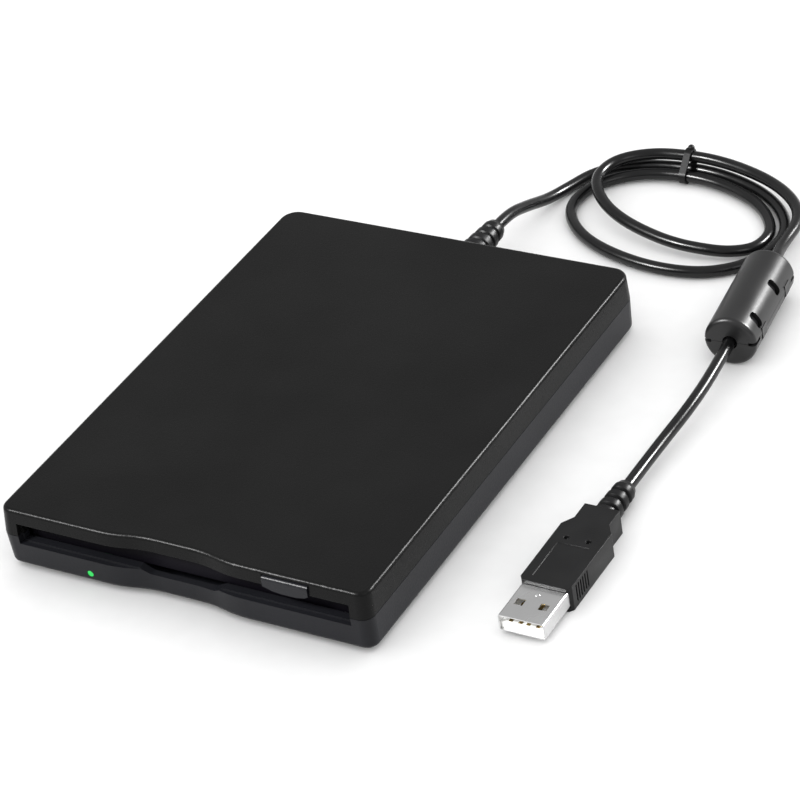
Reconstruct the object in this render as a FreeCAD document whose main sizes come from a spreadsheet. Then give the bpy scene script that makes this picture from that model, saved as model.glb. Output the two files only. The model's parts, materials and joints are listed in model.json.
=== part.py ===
import FreeCAD, Part
import math
import os
import re

# An external floppy disk drive in millimetres. X runs to the right when one faces the disk slot, Y from
# the front to the back, Z up. The origin is under the middle of the case, on the surface it stands on.

DOC = FreeCAD.newDocument("floppy_drive")
SHEET = DOC.addObject("Spreadsheet::Sheet", "Sizes")
ALIASES = []


def size(alias, number):
    """One driving dimension: its name in column A, its value in column B."""
    ALIASES.append(alias)
    row = len(ALIASES)
    SHEET.set("A%d" % row, alias)
    SHEET.set("B%d" % row, str(number))
    SHEET.setAlias("B%d" % row, alias)


# Case
size("case_width", 104)
size("case_length", 140)
size("case_top", 17.4)
size("foot_lift", 1.2)
size("parting_height", 10.2)
size("parting_gap", 0.15)
size("side_wall", 1.8)
size("floor_wall", 1.6)
size("roof_wall", 1.6)
size("front_wall", 3.6)
size("back_wall", 1.8)
size("wall_draft", 0.28)
size("front_slope", 0.9)
size("front_corner", 3.1)
size("back_corner", 4.6)
size("top_rounding", 1.06)
size("bottom_rounding", 1.4)
size("wave_depth", 1.7)
size("wave_centre", -2.5)
size("wave_flat", 10)
size("wave_run", 15)
# Disk slot
size("slot_width", 93.8)
size("slot_low", 8.0)
size("slot_high", 13.6)
size("lip_depth", 1.2)
size("lip_step", 0.35)
size("lip_end_step", 0.7)
size("lip_rounding", 0.3)
size("scoop_left", -13.2)
size("scoop_right", 11.4)
size("scoop_depth", 1.1)
size("scoop_run", 3.4)
# Dust door
size("door_width", 91.6)
size("door_thick", 0.8)
size("door_low", 7.7)
size("door_pivot_y", -65.2)
size("door_pivot_z", 13.9)
size("door_pin_radius", 0.6)
size("door_pin_reach", 1.5)
size("hinge_ear_gap", 0.5)
size("hinge_ear_width", 1.3)
# Eject button and slider
size("button_middle", 30)
size("button_width", 12.4)
size("button_top", 16.3)
size("button_dip", 1.1)
size("button_front", -69.95)
size("button_depth", 2.9)
size("button_gap", 0.3)
size("eject_travel", 3.5)
size("slider_sheet", 0.6)
size("slider_top", 15.3)
size("slider_front", -59.8)
size("slider_back", -6)
size("slider_half_width", 47.2)
size("slider_wing_low", 7.4)
size("slider_wing_back", 35)
# Sheet holder for the disk
size("holder_sheet", 0.6)
size("holder_half_width", 46.2)
size("holder_top", 13.6)
size("holder_low", 8.2)
size("holder_lip", 4.2)
size("holder_front", -58.5)
size("holder_back", 29.3)
size("holder_drop", 2.2)
size("window_left", -8)
size("window_right", 17)
size("window_front", 0)
size("guide_pin_radius", 0.8)
size("guide_pin_clearance", 0.08)
size("guide_pin_height", 11.2)
size("guide_pin_front", -44)
size("guide_pin_rear", 14)
# Frame of the mechanism
size("frame_sheet", 0.8)
size("frame_low", 4.9)
size("frame_half_width", 48.4)
size("frame_front", -64)
size("frame_wing_front", -57)
size("frame_wing_back", 33)
size("frame_back", 56.4)
size("frame_wing_top", 14.2)
size("frame_window_half", 18)
size("frame_window_front", 2)
size("frame_window_back", 54.4)
size("frame_screw_x", 45)
size("frame_screw_front", -61)
size("frame_screw_back", 50)
size("frame_screw_head", 1.9)
size("frame_screw_shank", 0.85)
# Main board
size("board_half_width", 42)
size("board_front", -57.5)
size("board_back", 49)
size("board_low", 3.4)
size("board_thick", 1.0)
# Spindle motor
size("spindle_y", -18.5)
size("frame_spindle_hole", 21.6)
size("rotor_radius", 20.6)
size("rotor_rim", 0.8)
size("rotor_top", 6.6)
size("rotor_plate", 0.6)
size("rotor_low", 4.75)
size("magnet_ring", 2.4)
size("fit_gap", 0.05)
size("stator_outer", 16.9)
size("stator_inner", 5.6)
size("stator_low", 4.75)
size("stator_thick", 0.7)
size("coil_count", 12)
size("bearing_outer", 3.6)
size("shaft_radius", 1.5)
size("hub_radius", 12.5)
size("hub_top", 7.1)
size("centre_pin_radius", 1.95)
size("centre_pin_top", 8.6)
size("drive_pin_orbit", 9.5)
size("drive_pin_radius", 1.1)
size("drive_pin_top", 8.3)
size("drive_pin_dip", 0.6)
# Head carriage
size("head_y", 21)
size("carriage_front", 46)
size("carriage_back", 54)
size("carriage_left", -16)
size("carriage_right", 9)
size("carriage_low", 6.4)
size("carriage_high", 10.2)
size("rod_x", -13)
size("rod_z", 8.5)
size("rod_radius", 1.25)
size("rod_front", 29.6)
size("screw_x", 14)
size("screw_z", 9.0)
size("screw_radius", 0.85)
size("thread_radius", 0.28)
size("thread_pitch", 3.0)
size("screw_front", 30.4)
size("lower_arm_low", 5.15)
size("lower_arm_high", 6.6)
size("arm_half_width", 4)
size("head_half", 3)
size("lower_head_top", 8.45)
size("upper_arm_low", 13.75)
size("upper_arm_high", 14.6)
size("upper_head_low", 12.7)
size("arm_pivot_y", 52)
size("arm_pivot_z", 12.6)
size("arm_pin_radius", 0.6)
size("arm_barrel", 1.1)
# Stepper motor
size("stepper_radius", 4.6)
size("stepper_front", 56.7)
size("stepper_length", 10.4)
# Shutter lever
size("lever_x", 34)
size("lever_y", 22)
size("lever_tip_x", 14.4)
size("lever_tip_y", 8)
size("lever_low", 13.75)
size("lever_thick", 0.5)
size("lever_hub", 2.6)
size("lever_pin_radius", 1.0)
size("lever_pin_low", 9.4)
size("rivet_radius", 1.0)
# Sensors
size("plunger_x", 38.4)
size("plunger_rear_y", -48)
size("plunger_front_y", -54.5)
size("plunger_top", 8.0)
size("plunger_radius", 0.7)
size("plunger_travel", 1.0)
size("switch_size", 4.0)
size("switch_top", 6.4)
# Bridge board at the back
size("bridge_left", -41)
size("bridge_right", -6)
size("bridge_front", 57)
size("bridge_back", 67)
size("bridge_low", 5.0)
size("bridge_thick", 1.0)
# Light pipe
size("light_x", -27.2)
size("light_z", 3.7)
size("light_radius", 0.85)
# Screws and feet
size("case_screw_x", 46)
size("case_screw_y", 62.6)
size("case_screw_head", 2.1)
size("case_screw_shank", 1.1)
size("case_screw_thread", 0.87)
size("foot_radius", 4)
size("foot_x", 43)
size("foot_front", -55)
size("foot_rear", 49)
size("foot_recess", 0.5)
# Cord
size("cord_radius", 1.6)
size("cord_exit_x", 2)
size("relief_length", 17)
size("relief_base", 4.3)
size("relief_tip", 3.1)
size("relief_neck", 3.7)
size("tie_x", 34)
size("tie_width", 1.9)
size("tie_thick", 0.6)
# Ferrite clip
size("ferrite_radius", 6.9)
size("ferrite_wall", 1.2)
size("ferrite_length", 33)
size("ferrite_bore", 1.95)
size("ferrite_core_radius", 5.5)
size("ferrite_core_length", 26)
size("ferrite_gap", 0.1)
size("clip_knuckle", 0.8)
size("clip_pin", 0.4)
size("clip_middle", 3)
size("clip_outside", 8)
# Plug
size("plug_x", 81.4)
size("plug_y", -10)
size("plug_width", 13.3)
size("plug_thick", 6.8)
size("plug_length", 30.6)
size("plug_relief", 12.4)
size("plug_waist", 2.0)
size("shell_width", 12)
size("shell_height", 4.5)
size("shell_length", 12)
size("shell_wall", 0.3)
size("shell_corner", 0.6)

DOC.recompute()


def spell(text):
    """An expression in which every size's name is written as the sheet's cell."""

    def cell(word):
        return "Sizes." + word.group(0) if word.group(0) in ALIASES else word.group(0)

    return re.sub(r"[a-z_]+", cell, str(text))


def value(text):
    """The number that an expression of sizes gives."""
    return float(SHEET.evalExpression("(" + spell(text) + ") * 1.0"))


def bind(thing, prop, text):
    """Ties one property of a document object to an expression of sizes."""
    thing.setExpression(prop, spell(text))


# Places worked out from the sizes
FLOOR = "(foot_lift + floor_wall)"
ROOF = "(case_top - roof_wall)"
FRONT = "(-case_length / 2)"
BACK = "(case_length / 2)"
INNER_FRONT = "(-case_length / 2 + front_wall)"
INNER_BACK = "(case_length / 2 - back_wall)"
INNER_SIDE = "(case_width / 2 - side_wall)"
BOARD_TOP = "(board_low + board_thick)"
FRAME_TOP = "(frame_low + frame_sheet)"
BRIDGE_TOP = "(bridge_low + bridge_thick)"

TURN_TO_X = FreeCAD.Rotation(FreeCAD.Vector(0, 1, 0), 90)
TURN_TO_Y = FreeCAD.Rotation(FreeCAD.Vector(1, 0, 0), -90)


def box(name, x, y, z):
    """A block between two expressions on each axis."""
    piece = DOC.addObject("Part::Box", name)
    for prop, span in (("Length", x), ("Width", y), ("Height", z)):
        bind(piece, prop, "(%s) - (%s)" % (span[1], span[0]))
    for axis, span in (("x", x), ("y", y), ("z", z)):
        bind(piece, ".Placement.Base." + axis, span[0])
    return piece


def disc(name, x, y, z, radius, axis="z"):
    """A cylinder: the axis it runs along takes a span, the other two a centre."""
    piece = DOC.addObject("Part::Cylinder", name)
    places = {"x": x, "y": y, "z": z}
    span = places[axis]
    if axis != "z":
        piece.Placement = FreeCAD.Placement(FreeCAD.Vector(), TURN_TO_X if axis == "x" else TURN_TO_Y)
    bind(piece, "Radius", radius)
    bind(piece, "Height", "(%s) - (%s)" % (span[1], span[0]))
    for key in "xyz":
        bind(piece, ".Placement.Base." + key, span[0] if key == axis else places[key])
    return piece


def fuse(name, *pieces):
    joined = DOC.addObject("Part::MultiFuse", name)
    joined.Shapes = list(pieces)
    joined.Refine = True
    return joined


def cut(name, base, *tools):
    """The base without its tools."""
    piece = DOC.addObject("Part::Cut", name)
    piece.Base = base
    piece.Tool = tools[0] if len(tools) == 1 else fuse(name + "_tools", *tools)
    piece.Refine = True
    return piece


def group(name, *pieces):
    """Like pieces that share one file as separate solids."""
    together = DOC.addObject("Part::Compound", name)
    together.Links = list(pieces)
    return together


def solid(name, shape):
    """A sub-part whose shape comes from wires, lofts or pipes."""
    piece = DOC.addObject("Part::Feature", name)
    piece.Shape = shape
    return piece


def origin_plane(body, role):
    return [plane for plane in body.Origin.OriginFeatures if plane.Role == role][0]


def polygon_sketch(body, name, role, offset, points):
    """A closed outline on one of the body's own planes, each corner tied to two expressions."""
    sketch = body.newObject("Sketcher::SketchObject", name)
    sketch.AttachmentSupport = [(origin_plane(body, role), "")]
    sketch.MapMode = "FlatFace"
    bind(sketch, ".AttachmentOffset.Base.z", offset)
    numbers = [(value(a), value(b)) for a, b in points]
    count = len(points)
    for i in range(count):
        start = FreeCAD.Vector(*numbers[i], 0)
        end = FreeCAD.Vector(*numbers[(i + 1) % count], 0)
        sketch.addGeometry(Part.LineSegment(start, end), False)
    import Sketcher
    for i in range(count):
        sketch.addConstraint(Sketcher.Constraint("Coincident", i, 2, (i + 1) % count, 1))
    for i, (across, along) in enumerate(points):
        for kind, letter, text, number in (("DistanceX", "a", across, numbers[i][0]),
                                           ("DistanceY", "b", along, numbers[i][1])):
            row = sketch.addConstraint(Sketcher.Constraint(kind, -1, 1, i, 1, number))
            sketch.renameConstraint(row, "%s%d" % (letter, i))
            bind(sketch, "Constraints.%s%d" % (letter, i), text)
    return sketch


def padded(name, role, offset, points, length):
    """A body whose first feature is an outline padded to a length."""
    body = DOC.addObject("PartDesign::Body", name)
    sketch = polygon_sketch(body, name + "_outline", role, offset, points)
    pad = body.newObject("PartDesign::Pad", name + "_pad")
    pad.Profile = sketch
    bind(pad, "Length", length)
    DOC.recompute()
    return body


def rounded(body, name, radius, chosen):
    """Rounds the edges of the body that a test picks."""
    DOC.recompute()
    base = body.Tip
    edges = ["Edge%d" % (i + 1) for i, edge in enumerate(base.Shape.Edges) if chosen(edge)]
    fillet = body.newObject("PartDesign::Fillet", name)
    fillet.Base = (base, edges)
    bind(fillet, "Radius", radius)
    DOC.recompute()
    return body


def stands(edge):
    """Whether a straight edge runs up and down."""
    if edge.Curve.TypeId != "Part::GeomLine":
        return False
    return abs(edge.tangentAt(edge.FirstParameter).z) > 0.99


def lies_along_y(edge):
    if edge.Curve.TypeId != "Part::GeomLine":
        return False
    return abs(edge.tangentAt(edge.FirstParameter).y) > 0.99


def softened(name, base, radius, chosen):
    """A primitive with the edges that a test picks made round."""
    DOC.recompute()
    round_edges = DOC.addObject("Part::Fillet", name)
    round_edges.Base = base
    number = value(radius)
    round_edges.Edges = [(i + 1, number, number) for i, edge in enumerate(base.Shape.Edges) if chosen(edge)]
    return round_edges


# Outline of the case, with the wave in its front


def vector(x=0.0, y=0.0, z=0.0):
    return FreeCAD.Vector(x, y, z)


def s_curve(x_start, x_end, y_start, y_end, z):
    """Two equal arcs that leave and arrive along X."""
    run = x_end - x_start
    rise = y_end - y_start
    radius = (run * run + rise * rise) / (4 * abs(rise))
    half = math.asin(abs(run) / 2 / radius) / 2
    side = math.copysign(radius * math.sin(half), run)
    lift = math.copysign(radius * (1 - math.cos(half)), rise)
    middle = vector((x_start + x_end) / 2, (y_start + y_end) / 2, z)
    first = Part.Arc(vector(x_start, y_start, z), vector(x_start + side, y_start + lift, z), middle)
    second = Part.Arc(middle, vector(x_end - side, y_end - lift, z), vector(x_end, y_end, z))
    return [first.toShape(), second.toShape()]


def case_outline(inset, front_inset, z):
    """The case seen from above at one height, going round from the front's left end."""
    side = value("case_width / 2") - inset
    front = value(FRONT) + front_inset
    back = value(BACK) - inset
    near = value("front_corner")
    far = value("back_corner")
    centre = value("wave_centre")
    flat = value("wave_flat / 2")
    run = value("wave_run")
    hollow = front + value("wave_depth")

    def line(ax, ay, bx, by):
        return Part.LineSegment(vector(ax, ay, z), vector(bx, by, z)).toShape()

    def corner(x, y, radius, start):
        points = []
        for angle in (start, start + 45, start + 90):
            turn = math.radians(angle)
            points.append(vector(x + radius * math.cos(turn), y + radius * math.sin(turn), z))
        return Part.Arc(*points).toShape()

    edges = [line(-side + near, front, centre - flat - run, front)]
    edges += s_curve(centre - flat - run, centre - flat, front, hollow, z)
    edges.append(line(centre - flat, hollow, centre + flat, hollow))
    edges += s_curve(centre + flat, centre + flat + run, hollow, front, z)
    edges.append(line(centre + flat + run, front, side - near, front))
    edges.append(corner(side - near, front + near, near, 270))
    edges.append(line(side, front + near, side, back - far))
    edges.append(corner(side - far, back - far, far, 0))
    edges.append(line(side - far, back, -side + far, back))
    edges.append(corner(-side + far, back - far, far, 90))
    edges.append(line(-side, back - far, -side, front + near))
    edges.append(corner(-side + near, front + near, near, 180))
    return Part.Wire(edges)


def block(x, y, z):
    """A plain block from three spans of expressions, for cuts in a case half."""
    low = [value(span[0]) for span in (x, y, z)]
    high = [value(span[1]) for span in (x, y, z)]
    return Part.makeBox(high[0] - low[0], high[1] - low[1], high[2] - low[2], vector(*low))


def post(x, y, z, radius):
    low = value(z[0])
    return Part.makeCylinder(value(radius), value(z[1]) - low, vector(value(x), value(y), low))


def rod(x, y, z, radius):
    low = value(y[0])
    return Part.makeCylinder(value(radius), value(y[1]) - low, vector(value(x), low, value(z)),
                             vector(0, 1, 0))


def prism_along_y(points, y):
    """A polygon of X and Z drawn out between two places on Y."""
    low = value(y[0])
    corners = [vector(value(a), low, value(b)) for a, b in points]
    face = Part.Face(Part.makePolygon(corners + corners[:1]))
    return face.extrude(vector(0, value(y[1]) - low, 0))


def edges_at(shape, z):
    return [edge for edge in shape.Edges if all(abs(v.Point.z - z) < 1e-6 for v in edge.Vertexes)]


def slot_shapes():
    """What the disk slot takes out of the front wall: the mouth, the inner step and the finger scoop."""
    half = "slot_width / 2"
    past = "-case_length / 2 - 1"
    step = "-case_length / 2 + lip_depth + 0.4"
    mouth = block(("-" + half, half), (past, step), ("slot_low", "slot_high"))
    inner = block(("-" + half + " + lip_end_step", half + " - lip_end_step"), (step, INNER_FRONT + " + 0.1"),
                  ("slot_low + lip_step", "slot_high"))
    scoop = prism_along_y([("scoop_left", "slot_low + 0.6"),
                           ("scoop_left + scoop_run", "slot_low - scoop_depth"),
                           ("scoop_right - scoop_run", "slot_low - scoop_depth"),
                           ("scoop_right", "slot_low + 0.6")], (past, INNER_FRONT + " + 0.1"))
    edges = [e for e in scoop.Edges if abs(e.tangentAt(e.FirstParameter).y) > 0.99 and
             abs(e.Vertexes[0].Point.z - value("slot_low - scoop_depth")) < 0.01]
    return mouth, inner, scoop.makeFillet(value("scoop_run * 0.8"), edges)


def top_cover():
    """The upper half of the case, with the button's notch, the door's ears and two screw posts."""
    low = value("parting_height + parting_gap")
    high = value("case_top")
    shell = Part.makeLoft([case_outline(0, 0, low), case_outline(value("wall_draft"), value("front_slope"),
                                                                 high)],
                          True, True)
    shell = shell.makeFillet(value("top_rounding"), edges_at(shell, high))
    shell = shell.cut(block(("-" + INNER_SIDE, INNER_SIDE), (INNER_FRONT, INNER_BACK),
                            ("parting_height - 1", ROOF)))
    mouth, inner, _ = slot_shapes()
    notch = block(("button_middle - button_width / 2 - button_gap",
                   "button_middle + button_width / 2 + button_gap"),
                  ("-case_length / 2 - 1", INNER_FRONT + " + 0.1"),
                  ("slot_high - 1", "button_top + button_gap"))
    ears = []
    for side in ("", "-"):
        inside = "%s(door_width / 2 + hinge_ear_gap)" % side
        outside = "%s(door_width / 2 + hinge_ear_gap + hinge_ear_width)" % side
        span = (outside, inside) if side else (inside, outside)
        ear = block(span, (INNER_FRONT + " - 0.2", "door_pivot_y + 1.4"),
                    ("door_pivot_z - 1.2", ROOF + " + 0.2"))
        hole = Part.makeCylinder(value("door_pin_radius + fit_gap"), 3,
                                 vector(min(value(span[0]), value(span[1])) - 0.5,
                                 value("door_pivot_y"), value("door_pivot_z")), vector(1, 0, 0))
        ears.append(ear.cut(hole))
    posts = []
    for side in ("case_screw_x", "-case_screw_x"):
        column = post(side, "case_screw_y", ("parting_height + parting_gap", ROOF + " + 0.2"),
                      "case_screw_head + 0.5")
        posts.append(column.cut(post(side, "case_screw_y", ("parting_height", ROOF + " - 0.6"),
                                     "case_screw_thread + 0.03")))
    shell = shell.cut([mouth, inner, notch, relief_hole()]).fuse(ears + posts).removeSplitter()
    lip = [edge for edge in edges_at(shell, value("slot_high")) if faces_out(edge)]
    return solid("top_cover", shell.makeFillet(value("lip_rounding"), lip))


def faces_out(edge):
    """Whether a level edge lies on the front of the case."""
    bounds = edge.BoundBox
    step = value("-case_length / 2 + lip_depth + 0.4")
    if abs(bounds.YMin - step) < 0.01 and abs(bounds.YMax - step) < 0.01:
        return False
    return bounds.YMax < value(FRONT) + 2.2 and bounds.XLength > 0.15


def relief_hole():
    """The hole in the back wall that holds the strain relief, half in each cover."""
    return rod("cord_exit_x", ("case_length / 2 - back_wall - 1", "case_length / 2 + 1"), "parting_height",
               "relief_neck + fit_gap")


def bottom_cover():
    """The lower half of the case, with the sill of the slot, screw bosses and recesses for the feet."""
    low = value("foot_lift")
    high = value("parting_height")
    shell = Part.makeLoft([case_outline(value("wall_draft"), value("wall_draft"), low),
                           case_outline(0, 0, high)],
                          True, True)
    shell = shell.makeFillet(value("bottom_rounding"), edges_at(shell, low))
    shell = shell.cut(block(("-" + INNER_SIDE, INNER_SIDE), (INNER_FRONT, INNER_BACK),
                            (FLOOR, "parting_height + 1")))
    posts = []
    holes = [relief_hole()] + list(slot_shapes())
    for side in ("", "-"):
        screw = side + "case_screw_x"
        posts.append(post(screw, "case_screw_y", (FLOOR + " - 0.2", "parting_height"),
                          "case_screw_head + 1.2"))
        holes.append(post(screw, "case_screw_y", ("0", "parting_height + 1"), "case_screw_shank + 0.15"))
        holes.append(post(screw, "case_screw_y", ("0", "foot_lift + 2.4"), "case_screw_head + 0.3"))
        for place in ("frame_screw_front", "frame_screw_back"):
            screw = side + "frame_screw_x"
            posts.append(post(screw, place, (FLOOR + " - 0.2", "frame_low"), "2.6"))
            holes.append(post(screw, place, ("foot_lift + 0.6", "frame_low + 1"),
                              "frame_screw_shank + 0.03"))
        for place in ("board_front + 8", "board_back - 20"):
            posts.append(post(side + "(board_half_width - 4)", place, (FLOOR + " - 0.2", "board_low"), "2"))
        for place in ("foot_front", "foot_rear"):
            holes.append(post(side + "foot_x", place, ("0", "foot_lift + foot_recess"),
                              "foot_radius + fit_gap"))
    for x, y in (("bridge_left + 3", "bridge_back - 2.5"), ("bridge_right - 3", "bridge_back - 2.5"),
                 ("bridge_right - 16", "bridge_front + 2.5")):
        posts.append(post(x, y, (FLOOR + " - 0.2", "bridge_low"), "1.8"))
    holes.append(rod("light_x", ("-case_length / 2 - 1", "board_front"), "light_z",
                     "light_radius + fit_gap"))
    shell = shell.fuse(posts).cut(holes)
    return solid("bottom_cover", shell.removeSplitter())


def dust_door():
    """The flap behind the slot, hung from two pins at its top corners."""
    plate = box("door_plate", ("-door_width / 2", "door_width / 2"),
                ("door_pivot_y - door_thick / 2", "door_pivot_y + door_thick / 2"),
                ("door_low", "door_pivot_z - 0.2"))
    rib = box("door_rib", ("-door_width / 2", "door_width / 2"),
              ("door_pivot_y - door_thick / 2", "door_pivot_y + door_thick / 2 + 0.3"),
              ("door_low", "door_low + 0.7"))
    parts = [plate, rib]
    for side in ("", "-"):
        edge = side + "(door_width / 2)"
        tab = side + "(door_width / 2 - 2)"
        tip = side + "(door_width / 2 + door_pin_reach)"
        spans = ((tab, edge), (tab, tip)) if not side else ((edge, tab), (tip, tab))
        parts.append(box("door_tab", spans[0], ("door_pivot_y - door_thick / 2",
                                                "door_pivot_y + door_thick / 2"),
                         ("door_pivot_z - 1", "door_pivot_z + 0.5")))
        parts.append(disc("door_pin", spans[1], "door_pivot_y", "door_pivot_z", "door_pin_radius", "x"))
    return fuse("dust_door", *parts)


def eject_button():
    """The push button: a bowed front that dips below the slot's upper edge, and a stem behind it."""
    left = "button_middle - button_width / 2"
    right = "button_middle + button_width / 2"
    body = padded("eject_button", "XZ_Plane", "-(button_front + button_depth)",
                  [(left, "slot_high"), (left + " + 2.6", "slot_high - button_dip * 0.75"),
                   (left + " + 5", "slot_high - button_dip"), (right + " - 3.4", "slot_high - button_dip"),
                   (right + " - 1", "slot_high - button_dip * 0.6"), (right, "slot_high"),
                   (right, "button_top"),
                   (left, "button_top")], "button_depth")
    front = value("button_front")
    top = value("button_top")
    rounded(body, "button_brow", "0.9",
            lambda e: all(abs(v.Point.y - front) < 0.01 and abs(v.Point.z - top) < 0.01
                                                      for v in e.Vertexes))
    return body


def eject_slider():
    """The sheet plate over the disk holder, with two wings whose sloping slots lift the holder."""
    plate = box("slider_plate", ("-slider_half_width", "slider_half_width"), ("slider_front", "slider_back"),
                ("slider_top - slider_sheet", "slider_top"))
    stem = box("slider_stem", ("button_middle - 4", "button_middle + 4"),
               ("button_front + button_depth", "slider_front + 1"),
               ("slider_top - slider_sheet", "slider_top"))
    parts = [plate, stem]
    for side in ("", "-"):
        outer = side + "slider_half_width"
        inner = side + "(slider_half_width - slider_sheet)"
        span = (inner, outer) if not side else (outer, inner)
        parts.append(box("slider_wing", span, ("slider_front + 2", "slider_back"),
                         ("slider_wing_low", "slider_top")))
        parts.append(box("slider_tail", span, ("slider_back - 1", "slider_wing_back"),
                         ("slider_wing_low", "slider_top - 2.4")))
        hook = side + "(slider_half_width - 6.4)"
        span = (hook, outer) if not side else (outer, hook)
        parts.append(box("slider_hook", span, ("slider_wing_back - slider_sheet", "slider_wing_back"),
                         ("slider_wing_low", "slider_wing_low + 4")))
    tools = []
    for y in ("guide_pin_front", "guide_pin_rear"):
        tools.append(solid("slider_slot", sloping_slot(y)))
    for x in ("-30", "-8", "14"):
        tools.append(box("slider_hole", (x, x + " + 14"), ("-46", "-26"),
                         ("slider_top - 2", "slider_top + 1")))
    return cut("eject_slider", fuse("slider_whole", *parts), *tools)


def sloping_slot(y):
    """A slot through both wings: while the slider comes forward its guide pins sink in it."""
    radius = value("guide_pin_radius + guide_pin_clearance")
    reach = value("case_width")
    start = vector(-reach / 2, value(y), value("guide_pin_height"))
    end = start + vector(0, value("eject_travel"), -value("holder_drop"))
    ends = [Part.makeCylinder(radius, reach, place, vector(1, 0, 0)) for place in (start, end)]
    along = (end - start).normalize()
    side = along.cross(vector(1, 0, 0)) * radius
    corners = [start + side, end + side, end - side, start - side]
    band = Part.Face(Part.makePolygon(corners + corners[:1])).extrude(vector(reach, 0, 0))
    return band.fuse(ends).removeSplitter()


def eject_springs():
    """Two compression springs between the frame's rear tabs and the slider's hooks."""
    springs = []
    for side in (1, -1):
        centre = vector(side * value("slider_half_width - 4.4"), 0, value("slider_wing_low + 2"))
        springs.append(coil_spring(centre, vector(0, 1, 0), value("slider_wing_back"),
                                   value("frame_screw_back - 4"), 1.45, 0.2, 7))
    return solid("eject_springs", Part.makeCompound(springs))


def disk_holder():
    """The sheet cage that takes the disk and sinks with it onto the spindle."""
    wide = "holder_half_width"
    y = ("holder_front", "holder_back")
    plate = box("holder_plate", ("-" + wide, wide), y, ("holder_top - holder_sheet", "holder_top"))
    parts = [plate]
    for side in ("", "-"):
        outer = side + wide
        inner = side + "(%s - holder_sheet)" % wide
        lip = side + "(%s - holder_lip)" % wide
        spans = ((inner, outer), (lip, outer)) if not side else ((outer, inner), (outer, lip))
        parts.append(box("holder_side", spans[0], y, ("holder_low", "holder_top")))
        parts.append(box("holder_ledge", spans[1], y, ("holder_low", "holder_low + holder_sheet")))
        stop = side + "(%s - 22)" % wide
        span = (stop, outer) if not side else (outer, stop)
        parts.append(box("holder_stop", span, ("holder_back - holder_sheet", "holder_back"),
                         ("holder_top - 3.4", "holder_top")))
        pin = side + "(frame_half_width + 0.5)"
        span = (side + "(%s - 0.3)" % wide, pin) if not side else (pin, side + "(%s - 0.3)" % wide)
        for place in ("guide_pin_front", "guide_pin_rear"):
            parts.append(disc("guide_pin", span, place, "guide_pin_height", "guide_pin_radius", "x"))
    window = box("holder_window", ("window_left", "window_right"), ("window_front", "holder_back + 1"),
                 ("holder_top - 1", "holder_top + 1"))
    return cut("disk_holder", fuse("holder_whole", *parts), window)


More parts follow.
